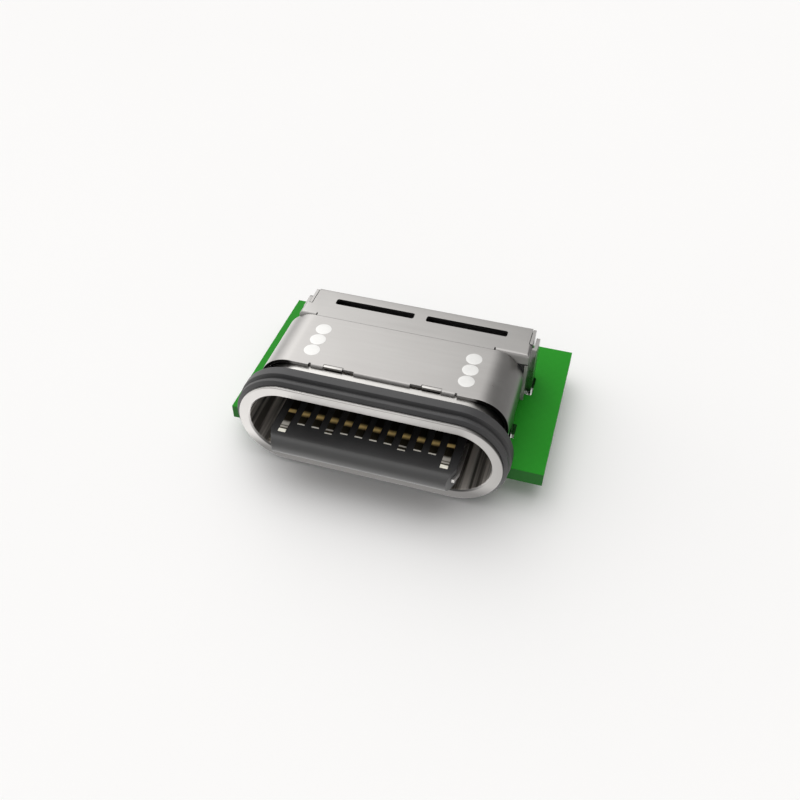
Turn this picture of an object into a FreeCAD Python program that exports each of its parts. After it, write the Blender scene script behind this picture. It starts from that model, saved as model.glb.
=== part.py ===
import FreeCAD, Part
import math
import os
import Sketcher

# Sealed receptacle for a flat reversible plug, set into a cut-out of its circuit board.
# The origin is the middle of the mouth at the rim's front face.
# +X runs along the mouth, +Y into the socket, +Z up from the board.

SIZES = (
    # The mouth and its drawn shell
    ("mouth_width", 8.34, "opening for the plug, side to side"),
    ("mouth_height", 2.56, "opening for the plug, floor to roof"),
    ("lead_in", 0.06, "chamfer round the mouth"),
    ("shell_wall", 0.10, "sheet of the drawn shell"),
    ("shell_setback", 0.05, "drawn shell's back edge ahead of the cover's"),
    ("rim_overhang", 0.29, "how far the rim stands out from the shell"),
    ("rim_depth", 0.12, "rim, front to back"),
    ("rim_round", 0.05, "rounding of the rim's outer edge"),
    ("lug_length", 0.64, "stop lug, side to side"),
    ("lug_depth", 0.08, "stop lug, front to back"),
    ("lug_slot", 0.05, "hole in the shell's roof before the lug, front to back"),
    ("lug_play", 0.04, "stop lug to the outer end of its window"),
    ("lug_step", 0.01, "stop lug's top below the cover's top"),
    # The rubber seal
    ("seal_height", 0.48, "seal, shell to the crest of its back lip"),
    ("front_lip", 0.12, "crest of the front lip, front to back"),
    ("back_lip", 0.34, "crest of the back lip, front to back"),
    ("groove_floor", 0.07, "floor of the groove between the lips"),
    ("seal_flank", 0.07, "run of each sloping flank of the lips"),
    ("seal_rear", 0.02, "run of the back lip's rear flank"),
    ("seal_step", 0.04, "front lip below the back lip"),
    ("groove_drop", 0.15, "groove's floor below the back lip"),
    ("seal_shoulder", 0.14, "drop from each lip to its outer shoulder"),
    ("lip_round", 0.03, "rounding of the lips' edges"),
    # The cover folded over the shell
    ("cover_play", 0.01, "shell's side to the cover's flank"),
    ("cover_wall", 0.12, "sheet of the cover"),
    ("cover_front", 1.58, "rim face to the cover's front edge"),
    ("cover_length", 2.62, "cover, front to back"),
    ("cover_bend", 1.14, "outside radius of the cover's bends"),
    ("cover_edge", 0.10, "rounding of the cover's front edge, between the notches"),
    ("flank_foot", 0.05, "flank's lower edge below the mouth's middle"),
    ("window_inner", 0.98, "window, middle plane to its inner end"),
    ("window_length", 1.08, "window, side to side"),
    ("window_depth", 0.17, "window, front to back"),
    ("tick_place", 2.50, "relief notch, from the middle plane"),
    ("tick_width", 0.08, "relief notch, side to side"),
    ("tick_depth", 0.10, "relief notch, front to back"),
    ("weld_width", 0.56, "weld spot, across"),
    ("weld_place", 2.72, "weld spot, from the middle plane"),
    ("weld_first", 0.75, "weld spot, from the cover's front edge"),
    ("weld_pitch", 0.585, "weld spot to the next"),
    ("weld_sink", 0.02, "weld spot, below the cover's top"),
    ("cover_leg_setback", 0.77, "cover's front edge to its leg"),
    ("cover_leg_width", 0.50, "cover's leg, front to back"),
    ("leg_reach", 0.62, "how far legs stand out below the board"),
    ("leg_point", 0.12, "taper of a leg's tip, each side"),
    ("leg_taper", 0.24, "taper of a leg's tip, top to bottom"),
    # The rear shell
    ("rear_offset", 0.35, "rear shell's middle, right of the mouth's middle"),
    ("rear_inset", 0.08, "half the rear shell's width less than half the cover's"),
    ("rear_wall", 0.12, "sheet of the rear shell"),
    ("rear_step", 0.02, "rear shell's top below the cover's top"),
    ("rear_gap", 0.02, "cover's back edge to the rear shell"),
    ("rear_length", 1.60, "rear shell, front to back"),
    ("rear_bend_inside", 0.01, "inside radius of the rear shell's bends"),
    ("wide_offset", 0.28, "wide plate's middle, right of the mouth's middle"),
    ("wide_inset", 0.11, "half the wide plate's width less than half across the wings"),
    ("neck_length", 0.96, "narrower stretch of the top plate"),
    ("wall_gap", 0.07, "side wall to the flap inside it"),
    ("flap_wall", 0.10, "sheet of the folded flaps"),
    ("flap_slit", 0.02, "slit between top plate and flap"),
    ("side_length", 1.40, "side wall, front to back"),
    ("side_round", 0.30, "rounding of the side wall's back corner"),
    ("slot_margin", 0.82, "outer end of a slot to the narrower plate's side"),
    ("slot_width", 0.31, "slot, front to back"),
    ("slot_space", 0.46, "web between the two slots"),
    ("slot_setback", 0.48, "slot to the back of the rear shell"),
    ("slot_corner", 0.08, "corner rounding of the slots"),
    ("shoulder_margin", 0.71, "shoulder tab's inner end inside the narrower plate"),
    ("shoulder_drop", 0.40, "shoulder tab, top to bottom"),
    ("shoulder_notch", 0.05, "relief notch beside a shoulder tab, side to side"),
    ("shoulder_slit", 0.05, "relief slit below a shoulder tab, top to bottom"),
    ("tail_side", 0.22, "opening in the back wall, past the end contacts"),
    ("tail_clear", 0.06, "opening in the back wall, above the contacts"),
    ("rear_leg_setback", 0.53, "rear shell's front edge to its leg"),
    ("rear_leg_width", 0.70, "rear leg, front to back"),
    # The tongue and its moulding
    ("tongue_side", 0.28, "end contact to the tongue's side"),
    ("tongue_height", 0.70, "tongue, top to bottom"),
    ("tongue_reach", 1.07, "tongue's nose in front of the rim"),
    ("nose_flat", 0.06, "flat front of the nose, between its roundings"),
    ("nose_bevel", 0.22, "bevel of the nose's corners, side to side"),
    ("nose_bevel_length", 0.58, "bevel of the nose's corners, front to back"),
    ("root_inset", 0.11, "thick root's side inside the tongue's side"),
    ("root_height", 1.10, "thick root of the tongue, top to bottom"),
    ("root_length", 1.00, "thick root of the tongue, front to back"),
    ("plug_depth", 0.65, "how far the moulding reaches into the drawn shell"),
    ("block_length", 1.08, "moulding inside the rear shell, front to back"),
    ("pocket_depth", 0.50, "pocket in the moulding's top below the slots"),
    ("pocket_margin", 0.06, "pocket past the slots, in front and at the sides"),
    ("fit_gap", 0.01, "play between a moulding and the metal round it"),
    # The plate between the contact rows
    ("plate_wall", 0.15, "sheet of the middle plate"),
    ("plate_proud", 0.09, "middle plate past the tongue's side"),
    ("plate_setback", 0.33, "tongue's nose to the middle plate"),
    ("plate_bevel", 0.10, "bevel of the plate's front corners, side to side"),
    ("plate_bevel_length", 0.34, "bevel of the plate's front corners, front to back"),
    ("plate_gap", 0.15, "middle plate's back edge to the upper contacts' uprights"),
    ("latch_setback", 1.69, "middle plate's front edge to its latch notch"),
    ("latch_length", 0.80, "latch notch, front to back"),
    ("latch_depth", 0.26, "latch notch, side to side"),
    ("plate_leg_gap", 0.14, "end contact to the middle plate's leg"),
    ("plate_leg_width", 0.30, "middle plate's leg, side to side"),
    ("ground_inset", 0.15, "ground pad's side inside the root's side"),
    ("ground_wall", 0.10, "sheet of the ground pads"),
    ("ground_length", 0.88, "ground pad, front to back"),
    ("ground_clear", 0.11, "ground pad's upright to the drawn shell"),
    # The contacts
    ("contact_pitch", 0.50, "contact to the next"),
    ("contact_width", 0.26, "contact, side to side"),
    ("contact_wall", 0.12, "sheet of the contacts"),
    ("contact_proud", 0.02, "contact's face above the tongue"),
    ("contact_bend", 0.14, "outside radius of a contact's bends"),
    ("contact_ramp", 0.10, "sloping front end of a contact"),
    ("contact_tip", 0.04, "front end of a contact, top to bottom"),
    ("signal_setback", 0.87, "tongue's nose to the signal contacts"),
    ("power_setback", 0.74, "tongue's nose to the power contacts"),
    ("ground_setback", 0.40, "tongue's nose to the ground contacts"),
    ("upper_setback", 0.25, "upper contacts' uprights to the moulding's back"),
    ("lower_setback", 0.33, "rear shell's front edge to the lower contacts' uprights"),
    ("foot_gap", 0.10, "lower contacts' feet to the upper contacts' uprights"),
    ("foot_reach", 0.68, "upper contacts' feet behind the rear shell"),
    ("foot_clear", 0.02, "moulding's underside above the contacts' feet"),
    # The circuit board
    ("board_top", 0.59, "board's top below the mouth's middle"),
    ("board_wall", 0.54, "board, top to bottom"),
    ("board_front", 0.89, "rim face to the board's front edge"),
    ("board_tail", 0.87, "board behind the contacts' feet"),
    ("board_right", 1.51, "board's right arm, beside the cut-out"),
    ("board_left", 1.03, "board's left arm, beside the cut-out"),
    ("cut_clear", 0.03, "gap between shell and board cut-out"),
    ("cut_behind", 0.15, "cut-out behind the drawn shell"),
    ("leg_clear", 0.10, "gap round a leg, along the board"),
    ("leg_side_clear", 0.13, "gap beside a cover's leg, across the board"),
    ("rear_side_clear", 0.08, "gap beside a rear leg, across the board"),
)

CONTACTS_IN_ROW = 12
END_CONTACTS = (1, 12)
POWER_CONTACTS = (4, 9)
PITCHES_TO_END = (CONTACTS_IN_ROW - 1) / 2
WELD_COUNT = 3

# Two lengths in millimetres are the same if they differ by less than this
SAME = 1e-3

# Expressions that more than one piece shares
HALF_FLAT = "((Sizes.mouth_width - Sizes.mouth_height) / 2)"
MOUTH_RADIUS = "(Sizes.mouth_height / 2)"
SHELL_RADIUS = f"({MOUTH_RADIUS} + Sizes.shell_wall)"
RIM_RADIUS = f"({SHELL_RADIUS} + Sizes.rim_overhang)"
SHELL_HALF = f"({HALF_FLAT} + {SHELL_RADIUS})"
BOARD_TOP = "(-Sizes.board_top)"
BOARD_BOTTOM = f"({BOARD_TOP} - Sizes.board_wall)"
LEG_TIP = f"({BOARD_BOTTOM} - Sizes.leg_reach)"
COVER_INSIDE = f"({SHELL_HALF} + Sizes.cover_play)"
COVER_HALF = f"({COVER_INSIDE} + Sizes.cover_wall)"
COVER_TOP = f"({SHELL_RADIUS} + Sizes.cover_wall)"
COVER_BACK = "(Sizes.cover_front + Sizes.cover_length)"
COVER_LEG_FRONT = "(Sizes.cover_front + Sizes.cover_leg_setback)"
COVER_LEG_BACK = f"({COVER_LEG_FRONT} + Sizes.cover_leg_width)"
WINDOW_OUTER = "(Sizes.window_inner + Sizes.window_length)"
SHELL_BACK = f"({COVER_BACK} - Sizes.shell_setback)"
PLUG_FACE = f"({SHELL_BACK} - Sizes.plug_depth)"
REAR_FRONT = f"({COVER_BACK} + Sizes.rear_gap)"
REAR_BACK = f"({REAR_FRONT} + Sizes.rear_length)"
REAR_TOP = f"({COVER_TOP} - Sizes.rear_step)"
REAR_UNDER = f"({REAR_TOP} - Sizes.rear_wall)"
REAR_HALF = f"({COVER_HALF} - Sizes.rear_inset)"
REAR_RIGHT = f"(Sizes.rear_offset + {REAR_HALF})"
REAR_LEFT = f"(Sizes.rear_offset - {REAR_HALF})"
REAR_BEND = "(Sizes.rear_wall + Sizes.rear_bend_inside)"
WIDE_HALF = f"({REAR_HALF} - Sizes.wide_inset)"
WIDE_RIGHT = f"(Sizes.wide_offset + {WIDE_HALF})"
WIDE_LEFT = f"(Sizes.wide_offset - {WIDE_HALF})"
FLAP_OUTER = f"({REAR_HALF} - Sizes.rear_wall - Sizes.wall_gap)"
FLAP_INNER = f"({FLAP_OUTER} - Sizes.flap_wall)"
NECK_HALF = f"({FLAP_INNER} - Sizes.flap_slit)"
NECK_FRONT = f"({REAR_BACK} - Sizes.neck_length)"
SIDE_BACK = f"({REAR_FRONT} + Sizes.side_length)"
SLOT_BACK = f"({REAR_BACK} - Sizes.slot_setback)"
SLOT_FRONT = f"({SLOT_BACK} - Sizes.slot_width)"
SLOT_INNER = "(Sizes.slot_space / 2)"
SLOT_OUTER = f"({NECK_HALF} - Sizes.slot_margin)"
SHOULDER_INNER = f"({NECK_HALF} - Sizes.shoulder_margin)"
SHOULDER_FOOT = f"({REAR_TOP} - Sizes.shoulder_drop)"
REAR_LEG_FRONT = f"({REAR_FRONT} + Sizes.rear_leg_setback)"
REAR_LEG_BACK = f"({REAR_LEG_FRONT} + Sizes.rear_leg_width)"
ROW_HALF = f"(Sizes.contact_pitch * {PITCHES_TO_END} + Sizes.contact_width / 2)"
NOSE = "(-Sizes.tongue_reach)"
TONGUE_HALF = f"({ROW_HALF} + Sizes.tongue_side)"
TONGUE_TOP = "(Sizes.tongue_height / 2)"
ROOT_HALF = f"({TONGUE_HALF} - Sizes.root_inset)"
ROOT_TOP = "(Sizes.root_height / 2)"
BLOCK_BACK = f"({REAR_FRONT} + Sizes.block_length)"
BLOCK_HALF = f"({NECK_HALF} - Sizes.fit_gap)"
BLOCK_RIGHT = f"(Sizes.rear_offset + {BLOCK_HALF})"
BLOCK_LEFT = f"(Sizes.rear_offset - {BLOCK_HALF})"
BLOCK_TOP = f"({REAR_UNDER} - Sizes.fit_gap)"
POCKET_FLOOR = f"({BLOCK_TOP} - Sizes.pocket_depth)"
FOOT_TOP = f"({BOARD_TOP} + Sizes.contact_wall)"
BLOCK_UNDER = f"({FOOT_TOP} + Sizes.foot_clear)"
CONTACT_FACE = f"({TONGUE_TOP} + Sizes.contact_proud)"
UPPER_DROP = f"({BLOCK_BACK} - Sizes.upper_setback)"
LOWER_DROP = f"({REAR_FRONT} + Sizes.lower_setback)"
UPPER_FOOT_END = f"({REAR_BACK} + Sizes.foot_reach)"
LOWER_FOOT_END = f"({UPPER_DROP} - Sizes.foot_gap)"
PLATE_FRONT = f"({NOSE} + Sizes.plate_setback)"
PLATE_BACK = f"({UPPER_DROP} - Sizes.plate_gap)"
PLATE_HALF = f"({TONGUE_HALF} + Sizes.plate_proud)"
PLATE_LEG_INNER = f"({ROW_HALF} + Sizes.plate_leg_gap)"
PLATE_LEG_OUTER = f"({PLATE_LEG_INNER} + Sizes.plate_leg_width)"
LATCH_FRONT = f"({PLATE_FRONT} + Sizes.latch_setback)"
LATCH_BACK = f"({LATCH_FRONT} + Sizes.latch_length)"
LATCH_FLOOR = f"({PLATE_HALF} - Sizes.latch_depth)"


def negative(expression):
    """Return the expression with its sign turned."""
    return f"(-({expression}))"


def make_sheet(doc):
    """Put every driving size into the document's sheet under its own name."""
    sheet = doc.addObject("Spreadsheet::Sheet", "Sizes")
    for row, (name, value, meaning) in enumerate(SIZES, start=1):
        sheet.set(f"A{row}", meaning)
        sheet.set(f"B{row}", str(value))
        sheet.setAlias(f"B{row}", name)
    doc.recompute()


def new_body(doc, name):
    """Start a piece of its own, labelled with the name of its file."""
    body = doc.addObject("PartDesign::Body", name)
    body.Label = name
    return body


def origin_item(body, role):
    """Find one of the piece's own origin planes or axes."""
    return next(item for item in body.Origin.OriginFeatures if item.Role == role)


def new_sketch(body, plane, name, place):
    """Lay a sketch on one of the piece's own planes, moved along the plane's normal."""
    sketch = body.newObject("Sketcher::SketchObject", f"{body.Name}_{name}")
    sketch.AttachmentSupport = (origin_item(body, plane), [""])
    sketch.MapMode = "FlatFace"
    sketch.setExpression("AttachmentOffset.Base.z", place)
    return sketch


def across(body, name, place="0"):
    """Sketch that faces the mouth: its axes are X and Z, at a depth along Y."""
    return new_sketch(body, "XZ_Plane", name, negative(place))


def level(body, name, place="0"):
    """Sketch that lies flat: its axes are X and Y, at a height along Z."""
    return new_sketch(body, "XY_Plane", name, place)


def upright(body, name, place="0"):
    """Sketch seen from the side: its axes are Y and Z, at a distance along X."""
    return new_sketch(body, "YZ_Plane", name, place)


def amount(item, expression):
    """Work out an expression in millimetres."""
    return float(item.evalExpression(expression))


def bind(sketch, kind, geometry, point, expression):
    """Tie one coordinate of a sketch point to an expression."""
    value = amount(sketch, expression)
    index = sketch.addConstraint(Sketcher.Constraint(kind, -1, 1, geometry, point, value))
    sketch.setExpression(f"Constraints[{index}]", expression)


def bind_radius(sketch, geometry, expression):
    """Tie the radius of an arc or a circle to an expression."""
    value = amount(sketch, expression)
    index = sketch.addConstraint(Sketcher.Constraint("Radius", geometry, value))
    sketch.setExpression(f"Constraints[{index}]", expression)


def loop(sketch, corners):
    """Draw a closed loop of straight lines whose corners are pairs of expressions."""
    points = [
        FreeCAD.Vector(amount(sketch, first), amount(sketch, second), 0)
        for first, second in corners
    ]
    start = sketch.GeometryCount
    count = len(points)
    for index in range(count):
        line = Part.LineSegment(points[index], points[(index + 1) % count])
        sketch.addGeometry(line, False)
    for index in range(count):
        following = start + (index + 1) % count
        sketch.addConstraint(Sketcher.Constraint("Coincident", start + index, 2, following, 1))
    for index, (first, second) in enumerate(corners):
        bind(sketch, "DistanceX", start + index, 1, first)
        bind(sketch, "DistanceY", start + index, 1, second)


def rectangle(sketch, left, bottom, right, top):
    """Draw a rectangle from the expressions of its four sides."""
    loop(sketch, ((left, bottom), (right, bottom), (right, top), (left, top)))


def stadium(sketch, half_flat, radius):
    """Draw two straight runs joined by half circles, centred on the sketch's origin."""
    flat = amount(sketch, half_flat)
    size = amount(sketch, radius)
    normal = FreeCAD.Vector(0, 0, 1)
    quarter = math.pi / 2
    right = Part.Circle(FreeCAD.Vector(flat, 0, 0), normal, size)
    left = Part.Circle(FreeCAD.Vector(-flat, 0, 0), normal, size)
    roof = Part.LineSegment(FreeCAD.Vector(flat, size, 0), FreeCAD.Vector(-flat, size, 0))
    floor = Part.LineSegment(FreeCAD.Vector(-flat, -size, 0), FreeCAD.Vector(flat, -size, 0))
    first = sketch.addGeometry(Part.ArcOfCircle(right, -quarter, quarter), False)
    second = sketch.addGeometry(roof, False)
    third = sketch.addGeometry(Part.ArcOfCircle(left, quarter, 3 * quarter), False)
    fourth = sketch.addGeometry(floor, False)
    runs = (first, second, third, fourth)
    for index, run in enumerate(runs):
        following = runs[(index + 1) % len(runs)]
        sketch.addConstraint(Sketcher.Constraint("Tangent", run, 2, following, 1))
    bind(sketch, "DistanceX", first, 3, half_flat)
    bind(sketch, "DistanceX", third, 3, negative(half_flat))
    sketch.addConstraint(Sketcher.Constraint("PointOnObject", first, 3, -1))
    sketch.addConstraint(Sketcher.Constraint("PointOnObject", third, 3, -1))
    bind_radius(sketch, first, radius)


def circle(sketch, centre_first, centre_second, radius):
    """Draw a circle from the expressions of its centre and radius."""
    first = amount(sketch, centre_first)
    second = amount(sketch, centre_second)
    normal = FreeCAD.Vector(0, 0, 1)
    outline = Part.Circle(FreeCAD.Vector(first, second, 0), normal, amount(sketch, radius))
    ring = sketch.addGeometry(outline, False)
    bind(sketch, "DistanceX", ring, 3, centre_first)
    bind(sketch, "DistanceY", ring, 3, centre_second)
    bind_radius(sketch, ring, radius)


def extrude(body, kind, sketch, length, backwards):
    """Pad or pocket a sketch over a length, along its normal or against it."""
    feature = body.newObject(f"PartDesign::{kind}", f"{sketch.Name}_{kind.lower()}")
    feature.Profile = sketch
    feature.setExpression("Length", length)
    feature.Reversed = backwards
    sketch.Visibility = False
    return feature


def pad_inward(body, sketch, length):
    """Add material from a sketch that faces the mouth, towards +Y."""
    return extrude(body, "Pad", sketch, length, True)


def cut_inward(body, sketch, length):
    """Remove material from a sketch that faces the mouth, towards +Y."""
    return extrude(body, "Pocket", sketch, length, False)


def pad_along(body, sketch, length):
    """Add material along the normal of a level or upright sketch."""
    return extrude(body, "Pad", sketch, length, False)


def cut_against(body, sketch, length):
    """Remove material against the normal of a level or upright sketch."""
    return extrude(body, "Pocket", sketch, length, False)


def dress(doc, body, kind, base, test, size):
    """Fillet or chamfer the edges of the last feature that pass a test."""
    doc.recompute()
    edges = enumerate(base.Shape.Edges, start=1)
    names = [f"Edge{index}" for index, edge in edges if test(edge)]
    feature = body.newObject(f"PartDesign::{kind}", f"{base.Name}_{kind.lower()}")
    feature.Base = (base, names)
    feature.setExpression("Radius" if kind == "Fillet" else "Size", size)
    return feature


def same(value, target):
    """Say whether two lengths agree."""
    return abs(value - target) < SAME


def runs_along(edge, axis):
    """Say whether an edge is a straight line along x, y or z."""
    if edge.Curve.TypeId != "Part::GeomLine":
        return False
    return same(abs(getattr(edge.Curve.Direction, axis)), 1)


def reach_up(edge):
    """Return how far an edge gets from the level through the mouth's middle."""
    return max(abs(edge.BoundBox.ZMin), abs(edge.BoundBox.ZMax))


def make_mouth_shell(doc):
    """Drawn steel shell: a stadium tube with a rim, and two lugs lanced up from its roof."""
    body = new_body(doc, "mouth_shell")
    tube = across(body, "tube")
    stadium(tube, HALF_FLAT, SHELL_RADIUS)
    pad_inward(body, tube, SHELL_BACK)
    rim = across(body, "rim")
    stadium(rim, HALF_FLAT, RIM_RADIUS)
    pad_inward(body, rim, "Sizes.rim_depth")
    lug_foot = f"({SHELL_RADIUS} - Sizes.shell_wall / 2)"
    lug_outer = f"({WINDOW_OUTER} - Sizes.lug_play)"
    lug_inner = f"({lug_outer} - Sizes.lug_length)"
    lug_front = "(Sizes.cover_front + Sizes.lug_slot)"
    lug_back = f"({lug_front} + Sizes.lug_depth)"
    lug = level(body, "lug", lug_foot)
    rectangle(lug, lug_inner, lug_front, lug_outer, lug_back)
    rectangle(lug, negative(lug_outer), lug_front, negative(lug_inner), lug_back)
    pad_along(body, lug, f"{COVER_TOP} - Sizes.lug_step - {lug_foot}")
    mouth = across(body, "mouth")
    stadium(mouth, HALF_FLAT, MOUTH_RADIUS)
    cut_inward(body, mouth, SHELL_BACK)
    hole = (
        ("Sizes.window_inner", "Sizes.cover_front"),
        (lug_outer, "Sizes.cover_front"),
        (lug_outer, lug_front),
        (lug_inner, lug_front),
        (lug_inner, lug_back),
        ("Sizes.window_inner", lug_back),
    )
    holes = level(body, "lug_holes", SHELL_RADIUS)
    loop(holes, hole)
    loop(holes, tuple((negative(first), second) for first, second in reversed(hole)))
    opening = cut_against(body, holes, "Sizes.shell_wall * 2")
    inner = amount(mouth, MOUTH_RADIUS)
    outer = amount(mouth, RIM_RADIUS)

    def front_edge(edge, height):
        return same(edge.BoundBox.YMax, 0) and same(reach_up(edge), height)

    lead = dress(
        doc, body, "Chamfer", opening, lambda edge: front_edge(edge, inner), "Sizes.lead_in"
    )
    dress(doc, body, "Fillet", lead, lambda edge: front_edge(edge, outer), "Sizes.rim_round")
    return body


def make_seal_ring(doc):
    """Rubber seal: a section with two rounded lips, carried round the shell behind the rim."""
    body = new_body(doc, "seal_ring")
    path = across(body, "path")
    stadium(path, HALF_FLAT, SHELL_RADIUS)
    section = upright(body, "section")
    crest = f"({SHELL_RADIUS} + Sizes.seal_height)"
    low_crest = f"({crest} - Sizes.seal_step)"
    floor = f"({crest} - Sizes.groove_drop)"
    front = "Sizes.rim_depth"
    rise = f"({front} + Sizes.seal_flank)"
    fall = f"({rise} + Sizes.front_lip)"
    floor_front = f"({fall} + Sizes.seal_flank)"
    floor_back = f"({floor_front} + Sizes.groove_floor)"
    second_rise = f"({floor_back} + Sizes.seal_flank)"
    second_fall = f"({second_rise} + Sizes.back_lip)"
    back = f"({second_fall} + Sizes.seal_rear)"
    loop(
        section,
        (
            (front, SHELL_RADIUS),
            (front, f"{low_crest} - Sizes.seal_shoulder"),
            (rise, low_crest),
            (fall, low_crest),
            (floor_front, floor),
            (floor_back, floor),
            (second_rise, crest),
            (second_fall, crest),
            (back, f"{crest} - Sizes.seal_shoulder"),
            (back, SHELL_RADIUS),
        ),
    )
    sweep = body.newObject("PartDesign::AdditivePipe", "seal_ring_sweep")
    sweep.Profile = section
    sweep.Spine = path
    sweep.Mode = "Frenet"
    lips = (amount(section, low_crest), amount(section, crest))

    def lip_edge(edge):
        flat_ring = edge.BoundBox.YLength < SAME
        return flat_ring and any(same(reach_up(edge), lip) for lip in lips)

    dress(doc, body, "Fillet", sweep, lip_edge, "Sizes.lip_round")
    return body


def leg_outline(sketch, front, back, top):
    """Draw a leg that reaches through the board and narrows to its tip."""
    shoulder = f"({LEG_TIP} + Sizes.leg_taper)"
    loop(
        sketch,
        (
            (front, top),
            (back, top),
            (back, shoulder),
            (f"{back} - Sizes.leg_point", LEG_TIP),
            (f"{front} + Sizes.leg_point", LEG_TIP),
            (front, shoulder),
        ),
    )


def fold_cover(doc, body):
    """Fold the cover's sheet: a roof, two wide bends and two flanks, all of one thickness."""
    foot = "(-Sizes.flank_foot)"
    section = across(body, "section", "Sizes.cover_front")
    loop(
        section,
        (
            (negative(COVER_HALF), foot),
            (negative(COVER_INSIDE), foot),
            (negative(COVER_INSIDE), SHELL_RADIUS),
            (COVER_INSIDE, SHELL_RADIUS),
            (COVER_INSIDE, foot),
            (COVER_HALF, foot),
            (COVER_HALF, COVER_TOP),
            (negative(COVER_HALF), COVER_TOP),
        ),
    )
    folded = pad_inward(body, section, "Sizes.cover_length")
    outer = (amount(section, COVER_HALF), amount(section, COVER_TOP))
    inner = (amount(section, COVER_INSIDE), amount(section, SHELL_RADIUS))

    def corner(edge, place):
        middle = edge.CenterOfMass
        on_corner = same(abs(middle.x), place[0]) and same(middle.z, place[1])
        return runs_along(edge, "y") and on_corner

    bent = dress(
        doc, body, "Fillet", folded, lambda edge: corner(edge, outer), "Sizes.cover_bend"
    )
    inside = "Sizes.cover_bend - Sizes.cover_wall"
    dress(doc, body, "Fillet", bent, lambda edge: corner(edge, inner), inside)


def cut_cover_front(doc, body):
    """Cut the windows for the stop lugs and the relief notches; round the edge between."""
    front = "Sizes.cover_front"
    window_back = f"({front} + Sizes.window_depth)"
    tick_outer = "(Sizes.tick_place + Sizes.tick_width)"
    tick_back = f"({front} + Sizes.tick_depth)"
    notches = level(body, "notches", COVER_TOP)
    rectangle(notches, "Sizes.window_inner", front, WINDOW_OUTER, window_back)
    rectangle(notches, negative(WINDOW_OUTER), front, "-Sizes.window_inner", window_back)
    rectangle(notches, "Sizes.tick_place", front, tick_outer, tick_back)
    rectangle(notches, negative(tick_outer), front, "-Sizes.tick_place", tick_back)
    notched = cut_against(body, notches, "Sizes.cover_wall")
    edge_y = amount(notches, front)
    edge_z = amount(notches, COVER_TOP)
    reach = amount(notches, "Sizes.tick_place")

    def front_edge(edge):
        middle = edge.CenterOfMass
        on_front = same(middle.y, edge_y) and same(middle.z, edge_z)
        return runs_along(edge, "x") and on_front and abs(middle.x) < reach

    dress(doc, body, "Fillet", notched, front_edge, "Sizes.cover_edge")


def press_welds(body):
    """Sink a row of weld spots into the roof and mirror the row to the other side."""
    spot = level(body, "weld_spot", COVER_TOP)
    first_spot = "(Sizes.cover_front + Sizes.weld_first)"
    circle(spot, "Sizes.weld_place", first_spot, "Sizes.weld_width / 2")
    weld = cut_against(body, spot, "Sizes.weld_sink")
    spots = body.newObject("PartDesign::MultiTransform", "weld_spots")
    spots.Originals = [weld]
    row = body.newObject("PartDesign::LinearPattern", "weld_row")
    row.Direction = (origin_item(body, "Y_Axis"), [""])
    row.setExpression("Length", f"Sizes.weld_pitch * {WELD_COUNT - 1}")
    row.Occurrences = WELD_COUNT
    mirror = body.newObject("PartDesign::Mirrored", "weld_mirror")
    mirror.MirrorPlane = (origin_item(body, "YZ_Plane"), [""])
    spots.Transformations = [row, mirror]
    body.Tip = spots


def make_cover_bracket(doc):
    """Cover folded over the shell, welded to it in six spots, with a leg on each flank."""
    body = new_body(doc, "cover_bracket")
    fold_cover(doc, body)
    cut_cover_front(doc, body)
    press_welds(body)
    for side, place in (("right", COVER_INSIDE), ("left", negative(COVER_HALF))):
        leg = upright(body, f"{side}_leg", place)
        leg_outline(leg, COVER_LEG_FRONT, COVER_LEG_BACK, "-Sizes.flank_foot")
        pad_along(body, leg, "Sizes.cover_wall")
    return body


def lay_rear_plate(body):
    """Lay the rear shell's top plate: notched in front, wide, and narrower behind."""
    neck_left = f"(Sizes.rear_offset - {NECK_HALF})"
    neck_right = f"(Sizes.rear_offset + {NECK_HALF})"
    notch_inner = f"({SHOULDER_INNER} - Sizes.shoulder_notch)"
    notch_back = f"({REAR_FRONT} + {REAR_BEND})"
    plate = level(body, "plate", REAR_UNDER)
    loop(
        plate,
        (
            (WIDE_LEFT, REAR_FRONT),
            (negative(SHOULDER_INNER), REAR_FRONT),
            (negative(SHOULDER_INNER), notch_back),
            (negative(notch_inner), notch_back),
            (negative(notch_inner), REAR_FRONT),
            (notch_inner, REAR_FRONT),
            (notch_inner, notch_back),
            (SHOULDER_INNER, notch_back),
            (SHOULDER_INNER, REAR_FRONT),
            (WIDE_RIGHT, REAR_FRONT),
            (WIDE_RIGHT, NECK_FRONT),
            (neck_right, NECK_FRONT),
            (neck_right, REAR_BACK),
            (neck_left, REAR_BACK),
            (neck_left, NECK_FRONT),
            (WIDE_LEFT, NECK_FRONT),
        ),
    )
    pad_along(body, plate, "Sizes.rear_wall")


def stand_back_wall(body):
    """Stand the back wall behind the plate, open at its foot for the upper contacts."""
    window = f"({ROW_HALF} + Sizes.tail_side)"
    lintel = f"({FOOT_TOP} + Sizes.tail_clear)"
    below_bend = f"({REAR_UNDER} - Sizes.rear_wall)"
    shift = "Sizes.rear_offset"
    wall = across(body, "back_wall", f"{REAR_BACK} - Sizes.rear_wall")
    loop(
        wall,
        (
            (f"{shift} - {FLAP_OUTER}", BOARD_TOP),
            (negative(window), BOARD_TOP),
            (negative(window), lintel),
            (window, lintel),
            (window, BOARD_TOP),
            (f"{shift} + {FLAP_OUTER}", BOARD_TOP),
            (f"{shift} + {FLAP_OUTER}", below_bend),
            (f"{shift} + {NECK_HALF}", below_bend),
            (f"{shift} + {NECK_HALF}", REAR_TOP),
            (f"{shift} - {NECK_HALF}", REAR_TOP),
            (f"{shift} - {NECK_HALF}", below_bend),
            (f"{shift} - {FLAP_OUTER}", below_bend),
        ),
    )
    pad_inward(body, wall, "Sizes.rear_wall")


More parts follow.
